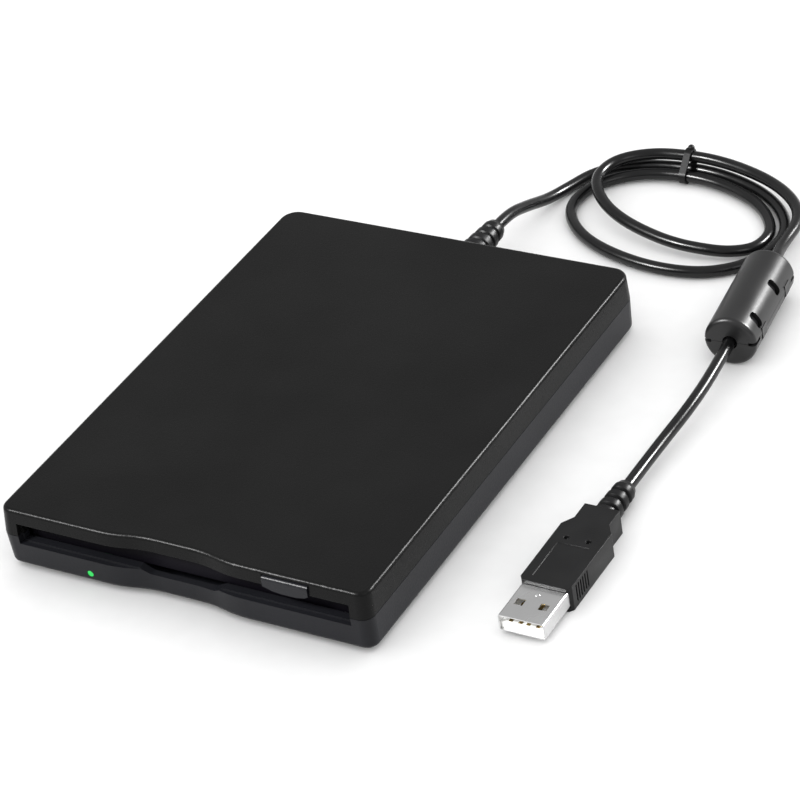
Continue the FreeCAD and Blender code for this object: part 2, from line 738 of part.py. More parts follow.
def drive_chassis():
    """The stamped frame: a base with wings, a hole for the motor and a window for the head carriage."""
    low = "frame_low"
    base = box("frame_base", ("-frame_half_width", "frame_half_width"),
               ("frame_wing_front", "frame_window_back"),
               (low, FRAME_TOP))
    parts = [base]
    for side in ("", "-"):
        outer = side + "frame_half_width"
        inner = side + "(frame_half_width - frame_sheet)"
        span = (inner, outer) if not side else (outer, inner)
        parts.append(box("frame_wing", span, ("frame_wing_front", "frame_wing_back"),
                         (low, "frame_wing_top")))
        ear = side + "(frame_screw_x - 4)"
        span = (ear, outer) if not side else (outer, ear)
        parts.append(box("frame_ear", span, ("frame_front", "frame_wing_front"), (low, FRAME_TOP)))
        tab = side + "(slider_half_width - 7)"
        span = (tab,
                side + "(slider_half_width - 1.6)") if not side else (side + "(slider_half_width - 1.6)",
                                                                      tab)
        parts.append(box("spring_tab", span, ("frame_screw_back - 4", "frame_screw_back - 3.2"),
                         (low, "slider_wing_low + 4")))
    parts.append(box("frame_bridge", ("-frame_window_half", "screw_x + 7"),
                     ("frame_window_back - 1", "frame_back"),
                     (low, FRAME_TOP)))
    parts.append(box("motor_wall", ("screw_x - 6", "screw_x + 7"),
                     ("frame_back - frame_sheet", "frame_back"),
                     (low, "screw_z + 4.4")))
    parts.append(box("rod_wall", ("rod_x - 2.4", "rod_x + 2.4"), ("frame_back - frame_sheet", "frame_back"),
                     (low, "rod_z + 2.2")))
    parts.append(box("screw_tab", ("screw_x - 2.6", "frame_window_half + 1"),
                     ("screw_front", "screw_front + 1"),
                     (low, "screw_z + 1.8")))
    parts.append(box("rod_tab", ("-frame_window_half - 1", "rod_x + 2"), ("rod_front", "rod_front + 1"),
                     (low, "rod_z + 2")))
    tools = [disc("motor_hole", "0", "spindle_y", (low + " - 1", FRAME_TOP + " + 1"), "frame_spindle_hole")]
    window = box("carriage_window", ("-frame_window_half", "frame_window_half"),
                 ("frame_window_front", "frame_window_back"), (low + " - 1", FRAME_TOP + " + 1"))
    tools.append(disc("motor_shaft_hole", "screw_x", ("frame_window_back", "frame_back + 1"), "screw_z",
                      "1.95", "y"))
    tools.append(disc("screw_hole", "screw_x", ("screw_front - 1", "screw_front + 2"), "screw_z",
                      "screw_radius - 0.25 + fit_gap", "y"))
    tools.append(disc("rod_hole", "rod_x", ("rod_front - 1", "frame_back + 1"), "rod_z", "rod_radius", "y"))
    for side in ("", "-"):
        for place in ("frame_screw_front", "frame_screw_back"):
            tools.append(disc("frame_screw_hole", side + "frame_screw_x", place,
                              (low + " - 1", FRAME_TOP + " + 1"),
                              "frame_screw_shank + 0.15"))
    for x, y in switch_places():
        tools.append(box("switch_hole", (x + " - 2.6", x + " + 2.6"), (y + " - 2.6", y + " + 2.6"),
                         (low + " - 1", FRAME_TOP + " + 1")))
    for y in ("guide_pin_front", "guide_pin_rear"):
        tools.append(solid("frame_slot", upright_slot(y)))
    tools.append(box("gate_hole", ("carriage_left - 8.4", "carriage_left - 1"),
                     ("carriage_front - 0.4", "carriage_front + 5.4"), (low + " - 1", FRAME_TOP + " + 1")))
    tools.append(box("ribbon_notch", ("bridge_left + 0.6", "bridge_left + 8"),
                     ("board_back - 2", "frame_window_back + 1"),
                     (low + " - 1", FRAME_TOP + " + 1")))
    tools.append(box("light_notch", ("light_x - 3", "light_x + 3"),
                     ("frame_wing_front - 1", "board_front + 6"),
                     (low + " - 1", FRAME_TOP + " + 1")))
    opened = cut("frame_opened", base, window)
    return cut("drive_chassis", fuse("frame_joined", opened, *parts[1:]), *tools)


def upright_slot(y):
    """A slot through both wings of the frame that keeps a guide pin upright above its place."""
    radius = value("guide_pin_radius + guide_pin_clearance")
    reach = value("case_width")
    high = value("guide_pin_height")
    low = high - value("holder_drop")
    ends = []
    for z in (high, low):
        ends.append(Part.makeCylinder(radius, reach, vector(-reach / 2, value(y), z), vector(1, 0, 0)))
    band = Part.makeBox(reach, 2 * radius, high - low, vector(-reach / 2, value(y) - radius, low))
    return band.fuse(ends).removeSplitter()


def switch_places():
    return (("plunger_x", "plunger_front_y"), ("-plunger_x", "plunger_front_y"),
            ("plunger_x", "plunger_rear_y"))


def chassis_screws():
    """Four screws that hold the frame to the bosses of the bottom cover."""
    screws = []
    for side in ("", "-"):
        for place in ("frame_screw_front", "frame_screw_back"):
            x = side + "frame_screw_x"
            head = disc("screw_head", x, place, (FRAME_TOP, FRAME_TOP + " + 0.9"), "frame_screw_head")
            shank = disc("screw_shank", x, place, ("foot_lift + 0.9", FRAME_TOP + " + 0.4"),
                         "frame_screw_shank")
            cross = box("screw_cross", (x + " - 0.9", x + " + 0.9"), (place + " - 0.2", place + " + 0.2"),
                        (FRAME_TOP + " + 0.5", FRAME_TOP + " + 1"))
            bar = box("screw_bar", (x + " - 0.2", x + " + 0.2"), (place + " - 0.9", place + " + 0.9"),
                      (FRAME_TOP + " + 0.5", FRAME_TOP + " + 1"))
            screws.append(cut("chassis_screw", fuse("screw_blank", head, shank), cross, bar))
    return group("chassis_screws", *screws)


def controller_board():
    """The main circuit board under the frame, bored for the spindle's bearing."""
    board = box("board_blank", ("-board_half_width", "board_half_width"), ("board_front", "board_back"),
                ("board_low", BOARD_TOP))
    bore = disc("board_bore", "0", "spindle_y", ("board_low - 1", BOARD_TOP + " + 1"), "bearing_outer")
    corners = []
    for side in ("", "-"):
        span = ("board_half_width - 3", "board_half_width + 1")
        if side:
            span = ("-board_half_width - 1", "-board_half_width + 3")
        corners.append(box("board_corner", span, ("board_back - 5", "board_back + 1"),
                           ("board_low - 1", BOARD_TOP + " + 1")))
    return cut("controller_board", board, bore, *corners)


def board_parts():
    """Chips and the cable socket on the main board."""
    z = (BOARD_TOP, BOARD_TOP + " + 0.9")
    driver = box("motor_driver", ("-15", "-7"), ("31.2", "39.2"), z)
    controller = box("controller", ("5.6", "15.6"), ("33", "43"), z)
    crystal = box("crystal_can", ("6", "11"), ("47", "48.8"), z)
    return group("controller_parts", driver, controller, crystal)


def status_led():
    """The small green lamp on the front edge of the main board."""
    return box("status_led", ("light_x - 1.5", "light_x + 1.5"), ("board_front", "board_front + 1.2"),
               (BOARD_TOP, BOARD_TOP + " + 1.0"))


def led_light_pipe():
    """The clear rod that brings the lamp's light through the front wall."""
    body = DOC.addObject("Part::Feature", "led_light_pipe")
    stem = rod("light_x", ("-case_length / 2 + 0.3", "board_front - 0.9"), "light_z", "light_radius")
    head = block(("light_x - 1.5", "light_x + 1.5"), ("board_front - 2.4", "board_front - 0.3"),
                 (FLOOR + " + 0.1", BOARD_TOP + " + 1"))
    body.Shape = stem.fuse(head).removeSplitter()
    return body


def sensor_switches():
    """Three push switches on the main board, each bored for its plunger."""
    switches = []
    half = "switch_size / 2"
    for x, y in switch_places():
        housing = box("switch_case", (x + " - " + half, x + " + " + half),
                      (y + " - " + half, y + " + " + half),
                      (BOARD_TOP, "switch_top"))
        bore = disc("switch_bore", x, y, (BOARD_TOP + " + 0.3", "switch_top + 1"),
                    "plunger_radius + fit_gap")
        switches.append(cut("switch", housing, bore))
    return group("sensor_switches", *switches)


def plunger(name, index):
    """The stem of one sensor switch, pressed down by a disk."""
    x, y = switch_places()[index]
    return disc(name, x, y, (BOARD_TOP + " + 0.4 + plunger_travel", "plunger_top"), "plunger_radius")


def spindle_bearing():
    """The sintered sleeve that carries the spindle, set in the main board."""
    sleeve = disc("bearing_sleeve", "0", "spindle_y", (FLOOR + " + 0.1", "rotor_top - rotor_plate - 0.2"),
                  "bearing_outer")
    bore = disc("bearing_bore", "0", "spindle_y", ("0", "case_top"), "shaft_radius + fit_gap")
    return cut("spindle_bearing", sleeve, bore)


def stator_core():
    """The laminated star of the motor, with one tooth for each coil."""
    z = ("stator_low", "stator_low + stator_thick")
    ring = cut("stator_ring", disc("stator_disc", "0", "spindle_y", (BOARD_TOP, z[1]), "stator_inner + 3"),
               disc("stator_bore", "0", "spindle_y", ("0", "case_top"), "stator_inner"))
    teeth = [ring]
    for number in range(int(value("coil_count"))):
        angle = 360.0 * number / value("coil_count")
        tooth = DOC.addObject("Part::Feature", "stator_tooth")
        reach = value("stator_outer")
        thick = value("stator_thick")
        arm = Part.makeBox(reach - value("stator_inner") - 1, 1.6, thick,
                           vector(value("stator_inner") + 1, -0.8, 0))
        shoe = Part.makeBox(1.2, 5.4, thick, vector(reach - 1.2, -2.7, 0))
        tooth.Shape = arm.fuse(shoe)
        tooth.Placement = FreeCAD.Placement(vector(0, value("spindle_y"), value("stator_low")),
                                            FreeCAD.Rotation(vector(0, 0, 1), angle))
        teeth.append(tooth)
    return fuse("stator_core", *teeth)


def stator_coils():
    """One block of copper wire round each tooth of the star."""
    coils = []
    low = value(BOARD_TOP)
    high = value("rotor_top - rotor_plate - 0.12")
    for number in range(int(value("coil_count"))):
        angle = 360.0 * number / value("coil_count")
        wound = Part.makeBox(5.4, 3.6, high - low, vector(value("stator_inner + 4.6"), -1.8, low))
        tooth = Part.makeBox(9, 1.6, value("stator_thick"),
                             vector(value("stator_inner + 3"), -0.8, value("stator_low")))
        coil = wound.cut(tooth)
        coil.Placement = FreeCAD.Placement(vector(0, value("spindle_y"), 0),
                                           FreeCAD.Rotation(vector(0, 0, 1), angle))
        coils.append(coil)
    return solid("stator_coils", Part.makeCompound(coils))


def spindle_rotor():
    """The flat steel cup that turns over the coils."""
    cup = disc("rotor_blank", "0", "spindle_y", ("rotor_low", "rotor_top"), "rotor_radius")
    inside = disc("rotor_inside", "0", "spindle_y", ("rotor_low - 1", "rotor_top - rotor_plate"),
                  "rotor_radius - rotor_rim")
    bore = disc("rotor_bore", "0", "spindle_y", ("0", "case_top"), "shaft_radius")
    well = disc("pin_well", "drive_pin_orbit", "spindle_y", ("0", "case_top"), "drive_pin_radius + 0.3")
    return cut("spindle_rotor", cup, inside, bore, well)


def rotor_magnet():
    ring = disc("magnet_blank", "0", "spindle_y", ("rotor_low", "rotor_top - rotor_plate - 0.02"),
                "rotor_radius - rotor_rim - 0.02")
    bore = disc("magnet_bore", "0", "spindle_y", ("0", "case_top"), "rotor_radius - rotor_rim - magnet_ring")
    return cut("rotor_magnet", ring, bore)


def spindle_hub():
    """The chuck that grips the disk's steel plate, with its centre pin above and its shaft below."""
    face = disc("hub_face", "0", "spindle_y", ("rotor_top", "hub_top"), "hub_radius")
    pin = disc("hub_pin", "0", "spindle_y", ("rotor_top", "centre_pin_top"), "centre_pin_radius")
    shaft = disc("hub_shaft", "0", "spindle_y", (FLOOR + " + 0.2", "rotor_top + 0.2"), "shaft_radius")
    well = disc("hub_well", "drive_pin_orbit", "spindle_y", ("rotor_top - 1", "hub_top + 1"),
                "drive_pin_radius + fit_gap")
    return cut("spindle_hub", fuse("hub_whole", face, pin, shaft), well)


def drive_pin():
    """The sprung pin that catches the slot of the disk's steel plate."""
    return disc("drive_pin", "drive_pin_orbit", "spindle_y",
                ("rotor_top - 0.5 + drive_pin_dip", "drive_pin_top"),
                "drive_pin_radius")


def head_carriage():
    """The die-cast block that slides on the rod, with its lower arm, follower finger and hinge ears."""
    deck = box("carriage_deck", ("carriage_left", "carriage_right"), ("carriage_front", "carriage_back"),
               ("carriage_low", "carriage_high"))
    arm = box("lower_arm", ("-arm_half_width", "arm_half_width"), ("head_y - 3.4", "carriage_front + 2"),
              ("lower_arm_low", "lower_arm_high"))
    finger = box("screw_finger", ("carriage_right - 1", "screw_x - screw_radius - 0.12"),
                 ("arm_pivot_y - 1.6", "arm_pivot_y - 0.8"), ("screw_z - 0.6", "screw_z + 0.6"))
    vane = box("sensor_vane", ("carriage_left - 5", "carriage_left + 1"),
               ("carriage_front + 1", "carriage_front + 4"),
               ("rod_z - 1.2", "rod_z - 0.7"))
    parts = [deck, arm, finger, vane]
    for side in ("", "-"):
        outer = side + "(arm_half_width + 3)"
        inner = side + "(arm_half_width + 1.6)"
        span = (inner, outer) if not side else (outer, inner)
        parts.append(box("carriage_ear", span, ("arm_pivot_y - 1.8", "carriage_back"),
                         ("carriage_high - 0.2", "arm_pivot_z + 1.2")))
    bore = disc("rod_bore", "rod_x", ("carriage_front - 1", "carriage_back + 1"), "rod_z",
                "rod_radius + fit_gap",
                "y")
    pin = disc("pin_bore", ("-arm_half_width - 4", "arm_half_width + 4"), "arm_pivot_y", "arm_pivot_z",
               "arm_pin_radius", "x")
    return cut("head_carriage", fuse("carriage_whole", *parts), bore, pin)


def lower_head():
    return box("lower_head", ("-head_half", "head_half"), ("head_y - head_half", "head_y + head_half"),
               ("lower_arm_high", "lower_head_top"))


def upper_head_arm():
    """The arm over the disk, hinged on the carriage."""
    beam = box("upper_beam", ("-arm_half_width", "arm_half_width"), ("head_y - 3.4", "arm_pivot_y + 0.6"),
               ("upper_arm_low", "upper_arm_high"))
    rear = box("upper_root", ("-arm_half_width", "arm_half_width"), ("arm_pivot_y - 1", "arm_pivot_y + 0.9"),
               ("arm_pivot_z", "upper_arm_high"))
    barrel = disc("upper_barrel", ("-arm_half_width", "arm_half_width"), "arm_pivot_y", "arm_pivot_z",
                  "arm_barrel", "x")
    bore = disc("barrel_bore", ("-arm_half_width - 1", "arm_half_width + 1"), "arm_pivot_y", "arm_pivot_z",
                "arm_pin_radius + fit_gap", "x")
    slot = box("beam_slot", ("-arm_half_width + 1.6", "arm_half_width - 1.6"),
               ("head_y + 8", "arm_pivot_y - 8"),
               ("upper_arm_low - 1", "upper_arm_high + 1"))
    return cut("upper_head_arm", fuse("upper_whole", beam, rear, barrel), bore, slot)


def upper_head():
    return box("upper_head", ("-head_half", "head_half"), ("head_y - head_half", "head_y + head_half"),
               ("upper_head_low", "upper_arm_low"))


def arm_pivot_pin():
    return disc("arm_pivot_pin", ("-arm_half_width - 3.4", "arm_half_width + 3.4"), "arm_pivot_y",
                "arm_pivot_z",
                "arm_pin_radius", "x")


def guide_rod():
    """The polished rod that the carriage slides on."""
    return disc("guide_rod", "rod_x", ("rod_front - 0.4", "frame_back + 0.4"), "rod_z", "rod_radius", "y")


def lead_screw():
    """The stepper's shaft with a coarse rolled thread."""
    core = rod("screw_x", ("screw_front + 1.4", "frame_back + 0.2"), "screw_z", "screw_radius")
    front = rod("screw_x", ("screw_front - 0.3", "screw_front + 2"), "screw_z", "screw_radius - 0.25")
    rear = rod("screw_x", ("frame_back", "stepper_front + stepper_length - 1"), "screw_z",
               "screw_radius - 0.1")
    start = value("screw_front + 2.4")
    pitch = value("thread_pitch")
    turns = int((value("frame_back - frame_sheet") - start - 1) / pitch)
    radius = value("screw_radius")
    nodes = []
    for quarter in range(turns * 4 + 1):
        angle = math.radians(90 * quarter)
        place = vector(value("screw_x") + radius * math.cos(angle), start + pitch * quarter / 4,
                       value("screw_z") - radius * math.sin(angle))
        rise = pitch / (2 * math.pi * radius)
        tangent = vector(-math.sin(angle), rise, -math.cos(angle)).normalize()
        nodes.append((place, tangent))
    thread = pipe(biarc_wire(nodes), value("thread_radius"))
    return solid("lead_screw", core.fuse([front, rear, thread]))


def stepper_motor():
    """The small stepping motor that turns the lead screw."""
    can = disc("stepper_can", "screw_x", ("stepper_front", "stepper_front + stepper_length"), "screw_z",
               "stepper_radius", "y")
    boss = disc("stepper_boss", "screw_x", ("frame_back - frame_sheet", "stepper_front + 1"), "screw_z",
                "1.9", "y")
    flange = box("stepper_flange", ("screw_x - 5.6", "screw_x + 6.6"), ("frame_back", "stepper_front"),
                 ("screw_z - 3.6", "screw_z + 3.6"))
    bore = disc("stepper_bore", "screw_x", ("frame_back - 2", "stepper_front + stepper_length - 0.8"),
                "screw_z",
                "screw_radius + fit_gap", "y")
    return cut("stepper_motor", fuse("stepper_whole", can, boss, flange), bore)


def shutter_lever():
    """The lever on the holder that slides the disk's shutter open and pushes the disk out again."""
    pivot = (value("lever_x"), value("lever_y"))
    tip = (value("lever_tip_x"), value("lever_tip_y"))
    low = value("lever_low")
    thick = value("lever_thick")
    length = math.hypot(tip[0] - pivot[0], tip[1] - pivot[1])
    angle = math.degrees(math.atan2(tip[1] - pivot[1], tip[0] - pivot[0]))
    hub = Part.makeCylinder(value("lever_hub"), thick)
    end = Part.makeCylinder(1.8, thick, vector(length, 0, 0))
    half = value("lever_hub")
    corners = [vector(0, -half), vector(length, -1.8), vector(length, 1.8), vector(0, half)]
    blade = Part.Face(Part.makePolygon(corners + corners[:1])).extrude(vector(0, 0, thick))
    pin = Part.makeCylinder(value("lever_pin_radius"), low - value("lever_pin_low") + 0.1,
                            vector(length, 0, value("lever_pin_low") - low))
    hole = Part.makeCylinder(value("rivet_radius + fit_gap"), 3, vector(0, 0, -1))
    lever = solid("shutter_lever", blade.fuse([hub, end, pin]).cut(hole).removeSplitter())
    lever.Placement = FreeCAD.Placement(vector(pivot[0], pivot[1], low),
                                        FreeCAD.Rotation(vector(0, 0, 1), angle))
    return lever


def lever_rivet():
    """The shouldered rivet that the lever turns on."""
    stem = disc("rivet_stem", "lever_x", "lever_y", ("holder_top", "lever_low + lever_thick + 0.1"),
                "rivet_radius")
    head = disc("rivet_head", "lever_x", "lever_y", ("lever_low + lever_thick + 0.1",
                                                     "lever_low + lever_thick + 0.5"),
                "rivet_radius + 0.8")
    return fuse("lever_rivet", stem, head)


def track_zero_sensor():
    """The light gate that finds the outermost track."""
    whole = box("gate_blank", ("carriage_left - 8", "carriage_left - 2"),
                ("carriage_front", "carriage_front + 5"),
                (BOARD_TOP, "rod_z + 1"))
    gap = box("gate_gap", ("carriage_left - 6", "carriage_left"),
              ("carriage_front - 1", "carriage_front + 6"),
              ("rod_z - 1.7", "rod_z - 0.2"))
    return cut("track_zero_sensor", whole, gap)


def bridge_board():
    """The small board that turns the drive's signals into serial ones."""
    return box("bridge_board", ("bridge_left", "bridge_right"), ("bridge_front", "bridge_back"),
               ("bridge_low", BRIDGE_TOP))


def bridge_parts():
    """The bridge chip, its crystal and two sockets."""
    z = BRIDGE_TOP
    chip = box("bridge_chip", ("-30", "-23"), ("58.5", "65.5"), (z, z + " + 1.2"))
    crystal = box("bridge_crystal", ("-20", "-15"), ("60", "64"), (z, z + " + 2.6"))
    socket = box("cord_socket", ("bridge_right - 5", "bridge_right - 0.6"), ("59", "66"), (z, z + " + 3"))
    ribbon = box("ribbon_socket", ("-40.5", "-33"), ("bridge_front + 0.4", "bridge_front + 2.6"),
                 (z, z + " + 1.4"))
    return group("bridge_parts", chip, crystal, socket, ribbon)


def cord_wires():
    """Four wires from the strain relief to the socket on the bridge board."""
    wires = []
    tail = value(INNER_BACK) - 1.7
    for number in range(4):
        z = value("bridge_low + bridge_thick + 0.7") + 0.62 * number
        y = 60.2 + 1.6 * number
        start = vector(value("cord_exit_x") + 0.55 * (number - 1.5), tail, value("parting_height") + 0.3)
        route = [start, start + vector(0, -1.0 - 0.9 * (3 - number) * 0.4, 0),
                 vector(value("bridge_right") + 2.6, y, z), vector(value("bridge_right") - 0.6, y, z)]
        wires.append(pipe(arc_wire(route), 0.25))
    return solid("cord_wires", Part.makeCompound(wires))


def board_ribbon():
    """The flat cable between the two boards, folded once."""
    body = padded("board_ribbon", "YZ_Plane", "bridge_left + 1.6",
                  [("board_back - 4", BOARD_TOP + " + 0.05"), ("board_back + 1.5", BOARD_TOP + " + 0.05"),
                   ("bridge_front - 1.6", BRIDGE_TOP + " + 0.4"),
                   ("bridge_front + 0.3", BRIDGE_TOP + " + 0.4"),
                   ("bridge_front + 0.3", BRIDGE_TOP + " + 0.6"),
                   ("bridge_front - 1.8", BRIDGE_TOP + " + 0.6"),
                   ("board_back + 1.3", BOARD_TOP + " + 0.25"), ("board_back - 4", BOARD_TOP + " + 0.25")],
                  "5.4")
    return body


def case_screws():
    """Two screws that close the case from below."""
    screws = []
    for side in ("", "-"):
        x = side + "case_screw_x"
        head = disc("case_head", x, "case_screw_y", ("foot_lift + 0.5", "foot_lift + 2.4"),
                    "case_screw_head")
        shank = disc("case_shank", x, "case_screw_y", ("foot_lift + 2.3", "parting_height - 0.1"),
                     "case_screw_shank")
        thread = disc("case_thread", x, "case_screw_y", ("parting_height - 0.2", ROOF + " - 1"),
                      "case_screw_thread")
        cross = box("case_cross", (x + " - 1.1", x + " + 1.1"),
                    ("case_screw_y - 0.25", "case_screw_y + 0.25"),
                    ("foot_lift", "foot_lift + 1.3"))
        bar = box("case_bar", (x + " - 0.25", x + " + 0.25"), ("case_screw_y - 1.1", "case_screw_y + 1.1"),
                  ("foot_lift", "foot_lift + 1.3"))
        screws.append(cut("case_screw", fuse("case_blank", head, shank, thread), cross, bar))
    return group("case_screws", *screws)


def rubber_feet():
    feet = []
    for side in ("", "-"):
        for place in ("foot_front", "foot_rear"):
            feet.append(disc("foot", side + "foot_x", place, ("0", "foot_lift + foot_recess"),
                             "foot_radius"))
    return group("rubber_feet", *feet)


# Cord: tubes along arcs


def arc_wire(points):
    """Straight runs joined by tangent arcs, each as large as its two runs allow."""
    edges = []
    radii = []
    last = points[0]
    for i in range(1, len(points) - 1):
        before = points[i] - points[i - 1]
        after = points[i + 1] - points[i]
        reach = 0.45 * min(before.Length, after.Length)
        along = vector(*before).normalize()
        away = vector(*after).normalize()
        half = along.getAngle(away) / 2
        radius = reach / math.tan(half)
        radii.append(round(radius, 1))
        start = points[i] - along * reach
        end = points[i] + away * reach
        inward = (away - along).normalize()
        middle = points[i] + inward * (radius / math.cos(half) - radius)
        edges.append(Part.LineSegment(last, start).toShape())
        edges.append(Part.Arc(start, middle, end).toShape())
        last = end
    edges.append(Part.LineSegment(last, points[-1]).toShape())
    if len(radii) > 2:
        print("arc radii", radii)
    return Part.Wire(edges)


def biarc_wire(nodes):
    """Two tangent arcs between each pair of places, each place with its direction of travel."""
    edges = []
    for (start, leave), (end, arrive) in zip(nodes, nodes[1:]):
        chord = end - start
        both = leave + arrive
        a = 2 * (leave.dot(arrive) - 1)
        b = -2 * chord.dot(both)
        c = chord.dot(chord)
        reach = -c / b if abs(a) < 1e-9 else (-b - math.sqrt(b * b - 4 * a * c)) / (2 * a)
        if reach < 0:
            reach = (-b + math.sqrt(b * b - 4 * a * c)) / (2 * a)
        first = start + leave * reach
        second = end - arrive * reach
        joint = (first + second) * 0.5
        for p, q, r in ((start, first, joint), (joint, second, end)):
            centre = (p + r) * 0.5
            half = (r - p).Length / 2
            lean = math.acos(min(1.0, half / (q - p).Length))
            if lean < 1e-4:
                edges.append(Part.LineSegment(p, r).toShape())
            else:
                out = (q - centre).normalize()
                edges.append(Part.Arc(p, centre + out * half * math.tan(lean / 2), r).toShape())
    return Part.Wire(edges)


def pipe(path, radius):
    """A round tube along a wire."""
    edge = path.OrderedEdges[0]
    start = edge.valueAt(edge.FirstParameter)
    along = edge.tangentAt(edge.FirstParameter)
    ring = Part.Wire(Part.Circle(start, along, radius).toShape())
    return path.makePipeShell([ring], True, False)


def coil_spring(centre, axis, low, high, radius, wire, turns):
    """A helical spring along Y, one biarc to each quarter turn."""
    nodes = []
    steps = turns * 4
    pitch = (high - low - 2 * wire) / turns
    rise = pitch / (2 * math.pi * radius)
    for quarter in range(steps + 1):
        angle = math.radians(90 * quarter)
        place = vector(centre.x + radius * math.cos(angle), low + wire + pitch * quarter / 4,
                       centre.z - radius * math.sin(angle))
        nodes.append((place, vector(-math.sin(angle), rise, -math.cos(angle)).normalize()))
    return pipe(biarc_wire(nodes), wire)


def report_tube(name, path, shape, radius):
    """Prints a tube's length and how its volume compares with section times length."""
    share = shape.Volume / (math.pi * radius * radius * path.Length)
    print("%s length %.1f volume share %.4f" % (name, path.Length, share))


COIL_LOW = 1.7
COIL_TIE = 2.3
COIL_HIGH = 5.4
HANK_STRANDS = ((140.2, COIL_TIE), (136.2, COIL_TIE), (140.4, COIL_TIE + 3.9))


def coil_nodes():
    """Quarter points of the hank: in from the drive, round the outer loop, round the inner one, and out."""
    tie = value("tie_x")
    last = exit_route()[-2:]
    nodes = [(last[1], (last[1] - last[0]).normalize())]
    rights = ((72.0, 113.6, COIL_LOW), (68.0, 113.0, COIL_LOW), (75.8, 115.0, COIL_HIGH))
    bottoms = ((50.0, 93.4, COIL_LOW), (54.0, 103.6, COIL_LOW + 1.0))
    lefts = ((9.9, 118.0, COIL_LOW), (13.6, 127.2, COIL_HIGH + 0.6))
    for turn in range(3):
        nodes.append((vector(tie, *HANK_STRANDS[turn]), vector(1, 0, 0)))
        nodes.append((vector(*rights[turn]), vector(0, -1, 0)))
        if turn < 2:
            nodes.append((vector(*bottoms[turn]), vector(-1, 0, 0)))
            nodes.append((vector(*lefts[turn]), vector(0, 1, 0)))
    return nodes


def least_gap(path, radius, skip):
    """The smallest distance between two surfaces of one tube, stretches nearer than skip left out."""
    count = 700
    points = path.discretize(Number=count)
    step = path.Length / (count - 1)
    apart = int(skip / step)
    least = 1e9
    for i in range(count):
        for j in range(i + apart, count):
            least = min(least, points[i].distanceToPoint(points[j]))
    return least - 2 * radius


def cord_coil():
    """The hank of cord behind the drive, one unbroken tube."""
    path = biarc_wire(coil_nodes())
    radius = value("cord_radius")
    tube = pipe(path, radius)
    report_tube("cord_coil", path, tube, radius)
    print("cord_coil least gap to itself %.2f" % least_gap(path, radius, 40))
    return solid("cord_coil", tube)


def exit_route():
    """From the strain relief down to the floor and on to the hank."""
    tip = value("case_length / 2 + relief_length")
    return [vector(value("cord_exit_x"), tip, value("parting_height")),
            vector(value("cord_exit_x"), 94.0, value("parting_height")),
            vector(2.3, 104.4, 6.6), vector(2.9, 113.4, 3.0), vector(4.5, 121.4, COIL_LOW),
            vector(7.2, 128.5, COIL_LOW)]


def cord_exit_run():
    path = arc_wire(exit_route())
    tube = pipe(path, value("cord_radius"))
    report_tube("cord_exit_run", path, tube, value("cord_radius"))
    return solid("cord_exit_run", tube)


FERRITE_START = (78.6, 93.6)
FERRITE_END = (82.2, 60.8)
WINDOW_TURN = 55
WINDOW_PLACES = (-3.9, 10.9)
NOTCH_HEIGHT = 0.9
LATCH_PLACES = (-9.5, 9.5)


def front_route():
    """From the hank through the ferrite clip and on to the plug."""
    height = value("ferrite_radius")
    low = value("plug_thick / 2")
    start = vector(FERRITE_START[0], FERRITE_START[1], height)
    end = vector(FERRITE_END[0], FERRITE_END[1], height)
    beyond = (end - start).normalize() * 4.5
    return [vector(75.8, 115.0, COIL_HIGH), vector(75.8, 106.4, COIL_HIGH), start - beyond, end + beyond,
            vector(83.6, 38.0, height - 1.2), vector(value("plug_x"), 17.0, low),
            vector(value("plug_x"), value("plug_y + plug_relief"), low)]


def cord_front_run():
    path = arc_wire(front_route())
    tube = pipe(path, value("cord_radius"))
    report_tube("cord_front_run", path, tube, value("cord_radius"))
    return solid("cord_front_run", tube)


def revolved(profile, place, turn):
    """A solid of revolution from pairs of distance along the axis and radius."""
    corners = [vector(along, 0, radius) for along, radius in profile]
    corners = [vector(profile[0][0], 0, 0)] + corners + [vector(profile[-1][0], 0, 0)]
    face = Part.Face(Part.makePolygon(corners + corners[:1]))
    shape = face.revolve(vector(), vector(1, 0, 0), 360)
    shape.Placement = FreeCAD.Placement(place, turn)
    return shape


def ribbed_profile(length, base, tip, ribs, groove):
    """A tapering sleeve with ribs at an even step."""
    profile = []
    step = length / ribs
    for number in range(ribs):
        radius = base + (tip - base) * number / max(ribs - 1, 1)
        profile += [(number * step, radius), (number * step + 0.62 * step, radius - 0.1)]
        if number < ribs - 1:
            profile += [(number * step + 0.68 * step, radius - groove),
                        (number * step + 0.94 * step, radius - groove)]
    profile.append((length, tip - 0.3))
    return profile


def cord_strain_relief():
    """The moulded sleeve round the cord where it leaves the back of the case."""
    wall = value("back_wall")
    neck = value("relief_neck")
    along_y = FreeCAD.Rotation(vector(0, 0, 1), 90)
    inside = [(-wall - 1.7, neck + 1.5), (-wall, neck + 1.5), (-wall, neck), (0, neck)]
    sleeve = ribbed_profile(value("relief_length"), value("relief_base"), value("relief_tip"), 5, 0.7)
    place = vector(value("cord_exit_x"), value(BACK), value("parting_height"))
    return solid("cord_strain_relief", revolved(inside + sleeve, place, along_y))


def cord_tie():
    """The wire tie round the three strands of the hank."""
    x = value("tie_x - tie_width / 2")
    corners = [vector(x, *strand) for strand in HANK_STRANDS]
    triangle = Part.makePolygon(corners + corners[:1])
    inner = triangle.makeOffset2D(value("cord_radius"))
    outer = triangle.makeOffset2D(value("cord_radius + tie_thick"))
    band = Part.Face(outer).cut(Part.Face(inner)).extrude(vector(value("tie_width"), 0, 0))
    knot = Part.makeSphere(0.95, vector(value("tie_x") + 0.3, HANK_STRANDS[2][0] + 0.7,
                                        HANK_STRANDS[2][1] + 2.2))
    return solid("cord_tie", band.fuse(knot))


